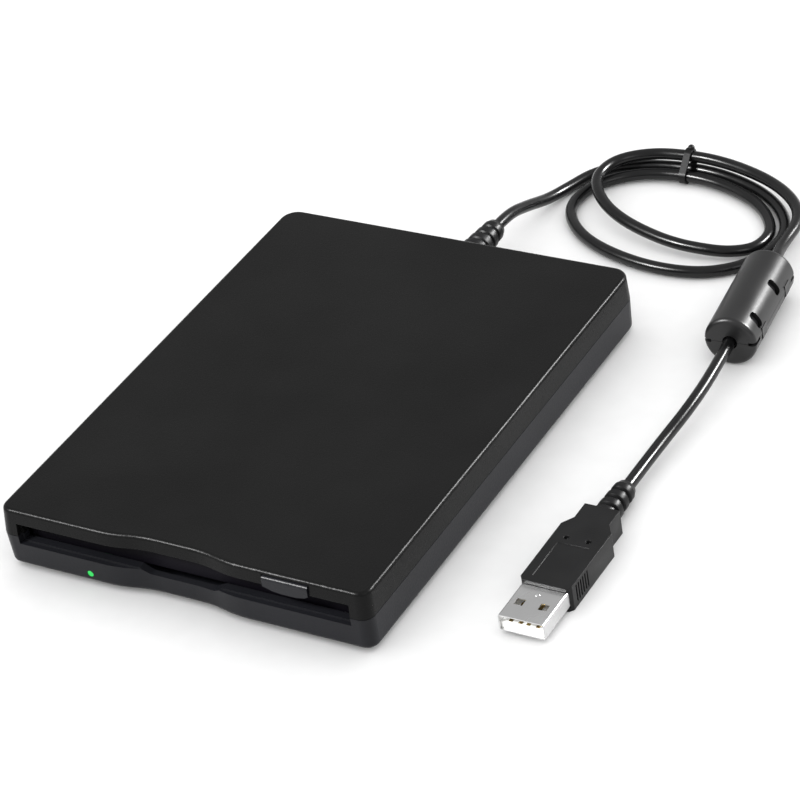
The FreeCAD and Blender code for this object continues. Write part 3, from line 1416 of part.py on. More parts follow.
def ferrite_frame():
    """Where the ferrite clip lies: its middle, and the turn from X to its axis."""
    start = vector(FERRITE_START[0], FERRITE_START[1], value("ferrite_radius"))
    end = vector(FERRITE_END[0], FERRITE_END[1], value("ferrite_radius"))
    angle = math.degrees(math.atan2(end.y - start.y, end.x - start.x))
    return FreeCAD.Placement((start + end) * 0.5, FreeCAD.Rotation(vector(0, 0, 1), angle))


def half_space(upper):
    """A block that keeps the upper or the lower half, a small gap off the middle plane."""
    gap = value("ferrite_gap / 2")
    return Part.makeBox(80, 40, 20, vector(-40, -20, gap if upper else -20 - gap))


def ferrite_case(name, upper):
    """One plastic half of the clip round the ferrite, with its windows and latches."""
    length = value("ferrite_length")
    outer = value("ferrite_radius")
    wall = value("ferrite_wall")
    along = vector(1, 0, 0)
    shell = Part.makeCylinder(outer, length, vector(-length / 2, 0, 0), along)
    ends = [e for e in shell.Edges if e.Curve.TypeId == "Part::GeomCircle"]
    shell = shell.makeFillet(1.2, ends)
    room = value("ferrite_core_length") + 0.3
    hollow = Part.makeCylinder(outer - wall, room, vector(-room / 2, 0, 0), along)
    bore = Part.makeCylinder(value("ferrite_bore"), length + 2, vector(-length / 2 - 1, 0, 0), along)
    cuts = [hollow, bore]
    if upper:
        for x in WINDOW_PLACES:
            window = Part.makeBox(2.8, 4.4, 3, vector(x - 1.4, -2.2, outer - wall - 0.6))
            window = window.makeFillet(1.0, [edge for edge in window.Edges if stands(edge)])
            cuts.append(window.rotate(vector(), along, -WINDOW_TURN))
    for x, y in ((-1, -1), (-1, 1), (1, -1), (1, 1)):
        corner = vector(x * (length / 2 - 1.6) - 2, y * (outer - 0.5) - 1.5, -NOTCH_HEIGHT / 2)
        cuts.append(Part.makeBox(4, 3, NOTCH_HEIGHT, corner))
    shell = shell.cut(cuts).common(half_space(upper))
    knuckle = value("clip_knuckle")
    pin = value("clip_pin")
    middle = value("clip_middle")
    outside = value("clip_outside")

    def barrel(radius, start, end):
        return Part.makeCylinder(radius, end - start, vector(start, -outer, 0), along)

    if upper:
        latches = [Part.makeBox(3.2, 0.9, 3.2, vector(x - 1.6, outer - 0.8, -1.6)) for x in LATCH_PLACES]
        for side in (-1, 1):
            start, end = sorted((side * (middle + 0.1), side * (outside + 0.4)))
            shell = shell.cut(barrel(knuckle + 0.35, start, end))
        shell = shell.fuse(latches + [barrel(knuckle, -middle, middle)])
        shell = shell.cut(barrel(pin + value("fit_gap"), -middle - 1, middle + 1))
    else:
        recesses = [Part.makeBox(3.8, 1.6, 2.2, vector(x - 1.9, outer - 1.1, -2.1)) for x in LATCH_PLACES]
        flat = Part.makeBox(60, 30, 2, vector(-30, -15, -outer - 2 + 0.02))
        shell = shell.cut(recesses + [flat, barrel(knuckle + 0.35, -middle - 0.4, middle + 0.4)])
        ends = []
        for side in (-1, 1):
            start, end = sorted((side * (middle + 0.4), side * outside))
            ends.append(barrel(knuckle, start, end))
        shell = shell.fuse(ends + [barrel(pin, -outside, outside)])
    piece = solid(name, shell.removeSplitter())
    piece.Placement = ferrite_frame()
    return piece


def ferrite_core(name, upper):
    """One half of the ferrite sleeve."""
    length = value("ferrite_core_length")
    along = vector(1, 0, 0)
    sleeve = Part.makeCylinder(value("ferrite_core_radius"), length, vector(-length / 2, 0, 0), along)
    bore = Part.makeCylinder(value("ferrite_bore"), length + 2, vector(-length / 2 - 1, 0, 0), along)
    piece = solid(name, sleeve.cut(bore).common(half_space(upper)))
    piece.Placement = ferrite_frame()
    return piece


# Plug


def plug_overmould():
    """The moulded grip of the plug, stepped in at the back, with its ribbed sleeve."""
    half = "plug_width / 2"
    thick = "plug_thick"
    front = "(plug_y - plug_length)"
    body = padded("plug_grip", "XY_Plane", "0",
                  [("plug_x - " + half + " + 0.9", front), ("plug_x + " + half + " - 0.9", front),
                   ("plug_x + " + half, front + " + 1.2"),
                   ("plug_x + " + half, "plug_y - 8.6"),
                   ("plug_x + " + half + " - plug_waist", "plug_y - 5.6"),
                   ("plug_x + " + half + " - plug_waist", "plug_y"),
                   ("plug_x - " + half + " + plug_waist", "plug_y"),
                   ("plug_x - " + half + " + plug_waist", "plug_y - 5.6"),
                   ("plug_x - " + half, "plug_y - 8.6"),
                   ("plug_x - " + half, front + " + 1.2")], thick)
    rounded(body, "plug_edges", "0.5", lambda e: e.Vertexes[0].Point.z > 0.1 and e.Vertexes[-1].Point.z > 0.1
            and abs(e.Vertexes[0].Point.z - e.Vertexes[-1].Point.z) < 0.01)
    along_y = FreeCAD.Rotation(vector(0, 0, 1), 90)
    place = vector(value("plug_x"), value("plug_y") - 1, value("plug_thick / 2"))
    length = value("plug_relief") + 1
    sleeve = solid("plug_sleeve", revolved(ribbed_profile(length, 3.3, 2.8, 5, 0.6), place, along_y))
    wide = "(shell_width / 2 + 0.02)"
    tall = "(shell_height / 2 + 0.02)"
    room = box("plug_room", ("plug_x - " + wide, "plug_x + " + wide), (front + " - 1", front + " + 8"),
               ("plug_thick / 2 - " + tall, "plug_thick / 2 + " + tall))
    return cut("plug_overmould", fuse("plug_whole", body, sleeve), room)


def plug_shell():
    """The folded metal shell of the plug, open in front, with its spring holes."""
    front = "(plug_y - plug_length)"
    y = (front + " - shell_length", front + " + 7.6")
    wide = "shell_width / 2"
    tall = "shell_height / 2"
    blank = box("shell_blank", ("plug_x - " + wide, "plug_x + " + wide), y,
                ("plug_thick / 2 - " + tall, "plug_thick / 2 + " + tall))
    whole = softened("shell_softened", blank, "shell_corner", lies_along_y)
    hollow = box("shell_hollow", ("plug_x - " + wide + " + shell_wall",
                                  "plug_x + " + wide + " - shell_wall"),
                 (y[0] + " - 1", y[1] + " - shell_wall"),
                 ("plug_thick / 2 - " + tall + " + shell_wall",
                  "plug_thick / 2 + " + tall + " - shell_wall"))
    holes = []
    for x in ("plug_x - 3.1", "plug_x + 3.1"):
        holes.append(box("shell_hole", (x + " - 1.1", x + " + 1.1"), (front + " - 7.4", front + " - 5.2"),
                         ("-1", "plug_thick + 1")))
    holes.append(disc("shell_dimple", "plug_x", front + " - 3",
                      ("plug_thick / 2 + " + tall + " - 0.15", "plug_thick + 1"),
                      "0.6"))
    return cut("plug_shell", whole, hollow, *holes)


def plug_tongue():
    """The insulator that carries the four contacts, filling the lower half of the shell."""
    front = "(plug_y - plug_length)"
    wide = "(shell_width / 2 - shell_wall - 0.05)"
    low = "plug_thick / 2 - shell_height / 2 + shell_wall + 0.05"
    tongue = box("tongue_plate", ("plug_x - " + wide, "plug_x + " + wide),
                 (front + " - shell_length + 0.6", front + " + 7"), (low, low + " + 1.8"))
    base = box("tongue_base", ("plug_x - " + wide, "plug_x + " + wide), (front + " + 0.6", front + " + 7"),
               (low, "plug_thick / 2 + shell_height / 2 - shell_wall - 0.05"))
    slots = []
    for x in contact_places():
        slots.append(box("contact_slot", (x + " - 0.52", x + " + 0.52"),
                         (front + " - shell_length + 1.2", front + " + 0.6"),
                         (low + " + 1.6", low + " + 2")))
    return cut("plug_tongue", fuse("tongue_whole", tongue, base), *slots)


def contact_places():
    return ("plug_x - 3.5", "plug_x - 1", "plug_x + 1", "plug_x + 3.5")


def plug_contacts():
    front = "(plug_y - plug_length)"
    low = "plug_thick / 2 - shell_height / 2 + shell_wall + 0.05"
    strips = []
    for x in contact_places():
        strips.append(box("contact", (x + " - 0.5", x + " + 0.5"),
                          (front + " - shell_length + 1.3", front + " + 0.58"),
                          (low + " + 1.62", low + " + 1.82")))
    return group("plug_contacts", *strips)


SUB_PARTS = [
    top_cover(), bottom_cover(), dust_door(), eject_button(), eject_slider(), eject_springs(), disk_holder(),
    drive_chassis(), chassis_screws(), controller_board(), board_parts(), status_led(), led_light_pipe(),
    sensor_switches(), plunger("write_guard_plunger", 0), plunger("density_plunger", 1),
    plunger("disk_present_plunger", 2), spindle_bearing(), stator_core(), stator_coils(), spindle_rotor(),
    rotor_magnet(), spindle_hub(), drive_pin(), head_carriage(), lower_head(), upper_head_arm(),
             upper_head(),
    arm_pivot_pin(), guide_rod(), lead_screw(), stepper_motor(), shutter_lever(), lever_rivet(),
    track_zero_sensor(), bridge_board(), bridge_parts(), cord_wires(), board_ribbon(), case_screws(),
    rubber_feet(), cord_strain_relief(), cord_exit_run(), cord_coil(), cord_front_run(), cord_tie(),
    ferrite_case("ferrite_case_lower", False), ferrite_case("ferrite_case_upper", True),
    ferrite_core("ferrite_core_lower", False), ferrite_core("ferrite_core_upper", True),
    plug_overmould(), plug_shell(), plug_tongue(), plug_contacts(),
]

DOC.recompute()
for thing in DOC.Objects:
    if "Invalid" in thing.State or "Error" in thing.State:
        raise RuntimeError("%s did not compute: %s" % (thing.Name, thing.State))
for piece in SUB_PARTS:
    if piece.Shape.isNull() or not piece.Shape.isValid():
        raise RuntimeError("%s has no valid shape" % piece.Name)
    piece.Label = piece.Name
os.makedirs("parts", exist_ok=True)
for piece in SUB_PARTS:
    piece.Shape.exportStep("parts/%s.step" % piece.Label)
    print(piece.Label, len(piece.Shape.Solids), round(piece.Shape.Volume, 1))
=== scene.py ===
import json
import math

import bmesh
import bpy
from mathutils import Matrix, Vector

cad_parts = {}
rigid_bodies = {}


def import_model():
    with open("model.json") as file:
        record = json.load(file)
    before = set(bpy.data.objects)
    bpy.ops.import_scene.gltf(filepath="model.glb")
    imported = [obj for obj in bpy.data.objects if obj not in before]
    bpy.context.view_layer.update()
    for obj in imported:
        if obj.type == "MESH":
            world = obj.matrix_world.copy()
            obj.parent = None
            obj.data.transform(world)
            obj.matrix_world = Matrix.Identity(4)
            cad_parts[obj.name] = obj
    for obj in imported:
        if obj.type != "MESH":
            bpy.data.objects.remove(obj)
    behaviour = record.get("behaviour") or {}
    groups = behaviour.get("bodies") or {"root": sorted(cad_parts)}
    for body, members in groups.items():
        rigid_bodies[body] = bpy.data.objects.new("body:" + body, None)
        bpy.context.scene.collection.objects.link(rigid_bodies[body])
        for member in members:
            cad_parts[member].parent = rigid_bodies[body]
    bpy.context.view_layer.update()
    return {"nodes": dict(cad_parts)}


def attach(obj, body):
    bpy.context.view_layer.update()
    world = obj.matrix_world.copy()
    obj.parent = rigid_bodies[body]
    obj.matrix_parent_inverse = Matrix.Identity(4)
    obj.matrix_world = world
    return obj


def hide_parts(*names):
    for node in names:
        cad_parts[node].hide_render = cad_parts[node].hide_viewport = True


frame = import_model()
NODES = frame["nodes"]
MM = 0.001


# Camera: the photograph's place and lens, with its slight roll


CAMERA_ANGLES = (35.05, 34.83, 10.08)
CAMERA_DISTANCE = 0.81748
CAMERA_AIM = Vector((8.43, 19.70, 1.2)) * MM
LENS = 144.66


def set_camera():
    """Looks at the aim from an azimuth and an elevation, then rolls about the line of sight."""
    azimuth, elevation, roll = (math.radians(angle) for angle in CAMERA_ANGLES)
    back = Vector((math.sin(azimuth) * math.cos(elevation),
                   -math.cos(azimuth) * math.cos(elevation),
                   math.sin(elevation)))
    side = (-back).cross(Vector((0, 0, 1))).normalized()
    down = (-back).cross(side)
    across = side * math.cos(roll) + down * math.sin(roll)
    up = side * math.sin(roll) - down * math.cos(roll)
    data = bpy.data.cameras.new("camera")
    data.sensor_width = 36
    data.lens = LENS
    data.clip_start = 0.05
    data.clip_end = 20
    camera = bpy.data.objects.new("camera", data)
    place = CAMERA_AIM + back * CAMERA_DISTANCE
    turn = Matrix((across, up, back)).transposed().to_4x4()
    camera.matrix_world = Matrix.Translation(place) @ turn
    bpy.context.scene.collection.objects.link(camera)
    bpy.context.scene.camera = camera


set_camera()


# Shader maths


class Value:
    """A socket that takes part in sums; numbers mix with it freely."""

    def __init__(self, paint, socket):
        self.paint = paint
        self.socket = socket

    def sum(self, operation, other):
        return self.paint.node("ShaderNodeMath", {"operation": operation}, {0: self, 1: other})

    def __add__(self, other):
        return self.sum("ADD", other)

    __radd__ = __add__

    def __lt__(self, other):
        return self.sum("LESS_THAN", other)


class Paint:
    """One finish: its material, the surface shader and the nodes that feed it."""

    def __init__(self, name, colour, roughness, metallic=0.0, **settings):
        self.material = bpy.data.materials.new(name)
        self.material.use_nodes = True
        self.tree = self.material.node_tree
        self.surface = self.tree.nodes["Principled BSDF"]
        self.material.diffuse_color = (*colour, 1)
        self.set("Base Color", colour)
        self.set("Roughness", roughness)
        self.set("Metallic", metallic)
        for key, number in settings.items():
            self.set(key.replace("_", " "), number)
        self.place = self.node("ShaderNodeTexCoord", {}, {}, "Object")

    def node(self, kind, settings, inputs, output=0):
        """A node with its settings made first and its sockets fed after them."""
        made = self.tree.nodes.new(kind)
        for key, number in settings.items():
            if key == "stops":
                ramp = made.color_ramp
                for spot, (position, colour) in enumerate(number):
                    stop = ramp.elements[spot] if spot < 2 else ramp.elements.new(position)
                    stop.position = position
                    stop.color = (*colour, 1)
            else:
                setattr(made, key, number)
        for key, number in inputs.items():
            self.feed(made.inputs[key], number)
        return Value(self, made.outputs[output])

    def feed(self, socket, number):
        if isinstance(number, Value):
            self.tree.links.new(number.socket, socket)
        elif hasattr(number, "__len__") and len(number) == 3 and socket.type == "RGBA":
            socket.default_value = (*number, 1)
        else:
            socket.default_value = number

    def set(self, name, number):
        self.feed(self.surface.inputs[name], number)

    def stretched(self, *scale):
        """Object coordinates scaled along each axis."""
        return self.node("ShaderNodeMapping", {}, {"Vector": self.place, "Scale": scale})

    def noise(self, scale, detail, where=None):
        inputs = {"Vector": where or self.place, "Scale": scale, "Detail": detail}
        return self.node("ShaderNodeTexNoise", {}, inputs)

    def cells(self, scale, where=None, feature="F1"):
        inputs = {"Vector": where or self.place, "Scale": scale}
        return self.node("ShaderNodeTexVoronoi", {"feature": feature}, inputs)

    def bands(self, scale, axis):
        inputs = {"Vector": self.place, "Scale": scale}
        return self.node("ShaderNodeTexWave", {"bands_direction": axis}, inputs)

    def axis(self, name):
        return self.node("ShaderNodeSeparateXYZ", {}, {0: self.place}, name)

    def ramp(self, value, *stops):
        return self.node("ShaderNodeValToRGB", {"stops": stops}, {"Fac": value})

    def range(self, value, low, high, new_low=0.0, new_high=1.0):
        inputs = {"Value": value, "From Min": low, "From Max": high,
                  "To Min": new_low, "To Max": new_high}
        return self.node("ShaderNodeMapRange", {}, inputs)

    def spread(self, noise, low=0.0, high=1.0):
        """The span where most of a noise lies, drawn out to run between two values."""
        return self.range(noise, 0.3, 0.7, low, high)

    def mix(self, share, first, second):
        return self.node("ShaderNodeMix", {"data_type": "RGBA"}, {0: share, 6: first, 7: second}, 2)

    def bump(self, height, distance, strength, onto=None):
        inputs = {"Height": height, "Distance": distance, "Strength": strength}
        if onto:
            inputs["Normal"] = onto
        return self.node("ShaderNodeBump", {}, inputs)

    def relief(self, height, distance, strength, onto=None):
        self.set("Normal", self.bump(height, distance, strength, onto))


def shade(tone, factor):
    """A colour made darker or lighter."""
    return tuple(channel * factor for channel in tone)


def eroded_plastic(name, tone, roughness, grain, sheen):
    """Moulded plastic with the fine sandy skin of a spark-eroded mould."""
    paint = Paint(name, tone, roughness, Specular_IOR_Level=sheen)
    sand = paint.noise(grain, 3.0)
    cloud = paint.noise(38, 2.0)
    paint.set("Base Color", paint.mix(paint.spread(cloud), shade(tone, 0.82), shade(tone, 1.16)))
    paint.set("Roughness", paint.spread(sand, roughness - 0.05, roughness + 0.06))
    paint.relief(sand, 0.00006, 0.5)
    return paint.material


def gloss_plastic(name, tone, roughness):
    """Smooth moulded plastic with a slight orange peel."""
    paint = Paint(name, tone, roughness, Specular_IOR_Level=0.5)
    peel = paint.noise(420, 2.0)
    wipe = paint.noise(60, 3.0)
    paint.set("Roughness", paint.spread(wipe, roughness * 0.8, roughness * 1.25))
    paint.relief(peel, 0.00003, 0.35)
    return paint.material


def cord_vinyl():
    """The glossy vinyl jacket, with the faint twist of its cores showing through."""
    paint = Paint("cord_vinyl", (0.0028, 0.0028, 0.0030), 0.3, Specular_IOR_Level=0.35)
    twist = paint.noise(150, 1.0)
    skin = paint.noise(1900, 2.0)
    paint.set("Roughness", paint.spread(twist, 0.2, 0.3))
    first = paint.bump(twist, 0.0002, 0.35)
    paint.relief(skin, 0.00003, 0.4, first)
    return paint.material


def grip_vinyl(name, tone, roughness):
    """Softer moulded vinyl with a fine matt skin."""
    paint = Paint(name, tone, roughness, Specular_IOR_Level=0.22)
    skin = paint.noise(2600, 2.0)
    cloud = paint.noise(120, 2.0)
    paint.set("Base Color", paint.mix(paint.spread(cloud), shade(tone, 0.85), shade(tone, 1.2)))
    paint.set("Roughness", paint.spread(cloud, roughness - 0.04, roughness + 0.05))
    paint.relief(skin, 0.00005, 0.45)
    return paint.material


def brushed_sheet(name, tone, roughness, along="Y"):
    """Rolled and plated sheet, with fine lines along its rolling direction."""
    paint = Paint(name, tone, roughness, 1.0)
    scale = {"X": (60, 2600, 2600), "Y": (2600, 60, 2600), "Z": (2600, 2600, 60)}[along]
    lines = paint.noise(1.0, 3.0, paint.stretched(*scale))
    cloud = paint.noise(55, 3.0)
    paint.set("Base Color", paint.mix(paint.spread(cloud), shade(tone, 0.86), tone))
    paint.set("Roughness", paint.spread(lines, roughness - 0.06, roughness + 0.1))
    paint.relief(lines, 0.00002, 0.3)
    return paint.material


def polished_steel(name, tone, roughness):
    """Ground and polished steel with a few fine scuffs."""
    paint = Paint(name, tone, roughness, 1.0)
    scuffs = paint.noise(700, 4.0)
    haze = paint.noise(90, 2.0)
    paint.set("Roughness", paint.spread(haze, roughness * 0.75, roughness * 1.4))
    paint.relief(scuffs, 0.00001, 0.25)
    return paint.material


def cast_metal():
    """Die-cast light alloy with its pebbled skin."""
    paint = Paint("cast_metal", (0.5, 0.5, 0.52), 0.45, 1.0)
    pebbles = paint.noise(900, 3.0)
    cloud = paint.noise(70, 2.0)
    paint.set("Base Color", paint.mix(paint.spread(cloud), (0.42, 0.42, 0.44), (0.56, 0.56, 0.58)))
    paint.set("Roughness", paint.spread(pebbles, 0.38, 0.55))
    paint.relief(pebbles, 0.00008, 0.5)
    return paint.material


def lacquered_board():
    """Green solder mask over copper tracks, with rows of tinned pads."""
    paint = Paint("lacquered_board", (0.012, 0.13, 0.055), 0.3, Specular_IOR_Level=0.5)
    tracks = paint.cells(210, paint.stretched(1, 1, 0.02), "DISTANCE_TO_EDGE")
    track = tracks < 0.06
    pads = paint.cells(300, paint.stretched(1, 1, 0.02))
    pad = pads < 0.17
    green = paint.mix(track, (0.010, 0.115, 0.045), (0.020, 0.21, 0.085))
    paint.set("Base Color", paint.mix(pad, green, (0.62, 0.60, 0.52)))
    paint.set("Roughness", paint.spread(paint.noise(200, 2.0), 0.24, 0.38))
    paint.relief(track + pad, 0.00004, 0.4)
    return paint.material


def wound_copper():
    """Enamelled wire laid side by side round a tooth, with painted shade in the grooves between the
    turns.
    """
    paint = Paint("wound_copper", (0.62, 0.25, 0.10), 0.28, 1.0)
    turns_and_groove_shade = paint.bands(900, "Z")
    # The colour is darker in the grooves between the turns: painted shade.
    paint.set("Base Color", paint.mix(turns_and_groove_shade, (0.32, 0.12, 0.05), (0.75, 0.34, 0.15)))
    paint.relief(turns_and_groove_shade, 0.00012, 0.7)
    return paint.material


def sintered(name, tone, roughness, grain, metallic=0.0):
    """Pressed powder: magnet, ferrite or bearing bronze."""
    paint = Paint(name, tone, roughness, metallic, Specular_IOR_Level=0.35)
    grains = paint.cells(grain)
    share = paint.range(grains, 0.1, 0.8)
    paint.set("Base Color", paint.mix(share, shade(tone, 0.6), shade(tone, 1.3)))
    paint.relief(grains, 0.00006, 0.5)
    return paint.material


def glazed_ceramic():
    """Cream ceramic with fine specks under a gloss."""
    paint = Paint("glazed_ceramic", (0.62, 0.58, 0.50), 0.14, Specular_IOR_Level=0.5)
    specks = paint.noise(1500, 2.0)
    share = paint.range(specks, 0.35, 0.65)
    paint.set("Base Color", paint.mix(share, (0.55, 0.51, 0.43), (0.66, 0.62, 0.54)))
    paint.set("Roughness", paint.spread(specks, 0.1, 0.2))
    return paint.material


LENS_GLOWS_BEFORE = -0.0693


def lit_lens():
    """The clear green end of the light pipe, aglow from within."""
    paint = Paint("lit_lens", (0.01, 0.12, 0.03), 0.2, Specular_IOR_Level=0.2,
                  Emission_Strength=0.7)
    glow = paint.noise(900, 1.0)
    tip = paint.axis("Y") < LENS_GLOWS_BEFORE
    bright = paint.mix(paint.spread(glow), (0.004, 0.60, 0.05), (0.02, 0.80, 0.10))
    paint.set("Emission Color", paint.mix(tip, (0.0, 0.004, 0.001), bright))
    paint.set("Base Color", paint.mix(paint.spread(glow), (0.01, 0.10, 0.03), (0.02, 0.16, 0.05)))
    return paint.material


def lamp_chip():
    """The small lamp on the board, a milky lens in a green body."""
    paint = Paint("lamp_chip", (0.10, 0.40, 0.16), 0.3, Specular_IOR_Level=0.5)
    milk = paint.noise(1200, 2.0)
    paint.set("Base Color", paint.mix(paint.spread(milk), (0.07, 0.30, 0.11), (0.16, 0.46, 0.22)))
    paint.set("Roughness", paint.spread(milk, 0.22, 0.4))
    return paint.material


RIBBON_MARK_BEFORE = -0.0389


def flat_ribbon():
    """Grey ribbon cable, one ridge to each wire and a red first one, with painted shade in the
    grooves between the wires.
    """
    paint = Paint("flat_ribbon", (0.42, 0.43, 0.45), 0.4)
    ridges_and_groove_shade = paint.bands(250, "X")
    marked = paint.axis("X") < RIBBON_MARK_BEFORE
    # The grey is darker in the grooves between the wires: painted shade.
    grey_with_groove_shade = paint.mix(ridges_and_groove_shade, (0.30, 0.31, 0.33), (0.48, 0.49, 0.51))
    paint.set("Base Color", paint.mix(marked, grey_with_groove_shade, (0.45, 0.03, 0.03)))
    paint.relief(ridges_and_groove_shade, 0.0002, 0.6)
    return paint.material


def coloured_wires():
    """Four thin wires, each its own colour by its height."""
    paint = Paint("coloured_wires", (0.4, 0.1, 0.1), 0.35)
    height = paint.range(paint.axis("Z"), 0.0062, 0.0092)
    tint = paint.ramp(height, (0.0, (0.02, 0.02, 0.02)), (0.3, (0.03, 0.30, 0.06)),
                      (0.55, (0.6, 0.6, 0.58)), (0.8, (0.5, 0.02, 0.02)))
    paint.set("Base Color", tint)
    paint.relief(paint.noise(1500, 2.0), 0.00003, 0.4)
    return paint.material


def plated_contacts():
    """Gold plate, duller where the contacts have worn."""
    paint = Paint("plated_contacts", (0.83, 0.60, 0.22), 0.2, 1.0)
    wear = paint.noise(1100, 3.0)
    paint.set("Roughness", paint.spread(wear, 0.14, 0.32))
    share = paint.range(wear, 0.45, 0.75)
    paint.set("Base Color", paint.mix(share, (0.83, 0.60, 0.22), (0.70, 0.55, 0.32)))
    return paint.material


CASE_TOP = eroded_plastic("case_top_skin", (0.0034, 0.0034, 0.0034), 0.3, 2100, 0.11)
CASE_LOW = eroded_plastic("case_low_skin", (0.0062, 0.0064, 0.0080), 0.38, 2100, 0.18)
DOOR = eroded_plastic("door_skin", (0.0034, 0.0029, 0.0046), 0.5, 1100, 0.08)
BUTTON = eroded_plastic("button_skin", (0.0062, 0.0064, 0.0080), 0.32, 2300, 0.24)
BLACK = gloss_plastic("black_moulding", (0.012, 0.012, 0.013), 0.3)
CHIP = eroded_plastic("chip_epoxy", (0.014, 0.014, 0.015), 0.5, 1700, 0.3)
CREAM = gloss_plastic("cream_moulding", (0.62, 0.60, 0.55), 0.35)
TONGUE = gloss_plastic("tongue_moulding", (0.80, 0.80, 0.78), 0.4)
CORD = cord_vinyl()
GRIP = grip_vinyl("plug_vinyl", (0.0040, 0.0040, 0.0042), 0.36)
CLIP = gloss_plastic("clip_moulding", (0.0050, 0.0050, 0.0052), 0.34)
RUBBER = grip_vinyl("foot_rubber", (0.018, 0.018, 0.018), 0.75)
SHEET = brushed_sheet("plated_sheet", (0.62, 0.62, 0.63), 0.32)
FRAME_SHEET = brushed_sheet("frame_sheet", (0.58, 0.59, 0.60), 0.36, "X")
CORE_SHEET = brushed_sheet("core_sheet", (0.30, 0.31, 0.33), 0.4, "Z")
STEEL = polished_steel("polished_steel", (0.66, 0.66, 0.67), 0.16)
SHELL = polished_steel("plug_plating", (0.70, 0.70, 0.70), 0.26)
ALLOY = cast_metal()
BOARD = lacquered_board()
COPPER = wound_copper()
MAGNET = sintered("magnet", (0.035, 0.032, 0.030), 0.6, 1400)
FERRITE = sintered("ferrite", (0.030, 0.030, 0.033), 0.55, 1200)
BRONZE = sintered("bearing_bronze", (0.50, 0.33, 0.16), 0.4, 1600, 1.0)
CERAMIC = glazed_ceramic()
LENS = lit_lens()
LAMP = lamp_chip()
RIBBON = flat_ribbon()
WIRES = coloured_wires()
CONTACTS = plated_contacts()

FINISH = {
    "top_cover": CASE_TOP, "bottom_cover": CASE_LOW, "dust_door": DOOR, "eject_button": BUTTON,
    "eject_slider": SHEET, "eject_springs": STEEL, "disk_holder": SHEET,
    "drive_chassis": FRAME_SHEET, "chassis_screws": STEEL, "controller_board": BOARD,
    "controller_parts": CHIP, "status_led": LAMP, "led_light_pipe": LENS,
    "sensor_switches": BLACK, "write_guard_plunger": CREAM, "density_plunger": CREAM,
    "disk_present_plunger": CREAM, "spindle_bearing": BRONZE, "stator_core": CORE_SHEET,
    "stator_coils": COPPER, "spindle_rotor": SHEET, "rotor_magnet": MAGNET, "spindle_hub": STEEL,
    "drive_pin": STEEL, "head_carriage": ALLOY, "lower_head": CERAMIC, "upper_head_arm": BLACK,
    "upper_head": CERAMIC, "arm_pivot_pin": STEEL, "guide_rod": STEEL, "lead_screw": STEEL,
    "stepper_motor": FRAME_SHEET, "shutter_lever": SHEET, "lever_rivet": STEEL,
    "track_zero_sensor": BLACK, "bridge_board": BOARD, "bridge_parts": CHIP, "cord_wires": WIRES,
    "board_ribbon": RIBBON, "case_screws": STEEL, "rubber_feet": RUBBER,
    "cord_strain_relief": GRIP, "cord_exit_run": CORD, "cord_coil": CORD, "cord_front_run": CORD,
    "cord_tie": GRIP, "ferrite_case_lower": CLIP, "ferrite_case_upper": CLIP,
    "ferrite_core_lower": FERRITE, "ferrite_core_upper": FERRITE, "plug_overmould": GRIP,
    "plug_shell": SHELL, "plug_tongue": TONGUE, "plug_contacts": CONTACTS,
}
for node_name, material in FINISH.items():
    data = NODES[node_name].data
    data.materials.clear()
    data.materials.append(material)


# Cord: one spline on the same route as the solid tubes


def mm(*point):
    """A place or a step given in millimetres."""
    return Vector(point) * MM


CORD_RADIUS = 1.6
COIL_LOW, COIL_TIE, COIL_HIGH = 1.7, 2.3, 5.4
TIE_X = 34
EXIT_ROUTE = [(2, 87, 10.2), (2, 94, 10.2), (2.3, 104.4, 6.6), (2.9, 113.4, 3.0),
              (4.5, 121.4, COIL_LOW), (7.2, 128.5, COIL_LOW)]
FERRITE_START = Vector((78.6, 93.6, 6.9))
FERRITE_END = Vector((82.2, 60.8, 6.9))
BEYOND = (FERRITE_END - FERRITE_START).normalized() * 4.5
FRONT_ROUTE = [(75.8, 115.0, COIL_HIGH), (75.8, 106.4, COIL_HIGH), tuple(FERRITE_START - BEYOND),
               tuple(FERRITE_END + BEYOND), (83.6, 38.0, 5.7), (81.4, 17, 3.4), (81.4, 2.4, 3.4)]


POLYGON_SHARES = ((0.732, 0.0, 0.1), (0.268, 0.268, 0.5), (0.0, 0.732, 0.9))


def hank_nodes():
    """Quarter points of the hank with the direction of travel at each."""
    passes = ((140.2, COIL_TIE), (136.2, COIL_TIE), (140.4, COIL_TIE + 3.9))
    rights = ((72.0, 113.6, COIL_LOW), (68.0, 113.0, COIL_LOW), (75.8, 115.0, COIL_HIGH))
    bottoms = ((50.0, 93.4, COIL_LOW), (54.0, 103.6, COIL_LOW + 1.0))
    lefts = ((9.9, 118.0, COIL_LOW), (13.6, 127.2, COIL_HIGH + 0.6))
    start = Vector(EXIT_ROUTE[-1])
    nodes = [(start, (start - Vector(EXIT_ROUTE[-2])).normalized())]
    for turn in range(3):
        nodes.append((Vector((TIE_X, *passes[turn])), Vector((1, 0, 0))))
        nodes.append((Vector(rights[turn]), Vector((0, -1, 0))))
        if turn < 2:
            nodes.append((Vector(bottoms[turn]), Vector((-1, 0, 0))))
            nodes.append((Vector(lefts[turn]), Vector((0, 1, 0))))
    return nodes


def hank_points():
    """Three control points to each quarter, drawn round it as a polygon is drawn round a circle."""
    points = []
    nodes = hank_nodes()
    for (start, leave), (end, arrive) in zip(nodes, nodes[1:]):
        step = end - start
        turn = leave.x * arrive.y - leave.y * arrive.x
        reach = (step.x * arrive.y - step.y * arrive.x) / turn
        corner = Vector((start.x + leave.x * reach, start.y + leave.y * reach, 0))
        for share_start, share_end, rise in POLYGON_SHARES:
            point = corner + (Vector((start.x, start.y, 0)) - corner) * share_start
            point += (Vector((end.x, end.y, 0)) - corner) * share_end
            point.z = start.z + (end.z - start.z) * rise
            points.append(tuple(point))
    return points


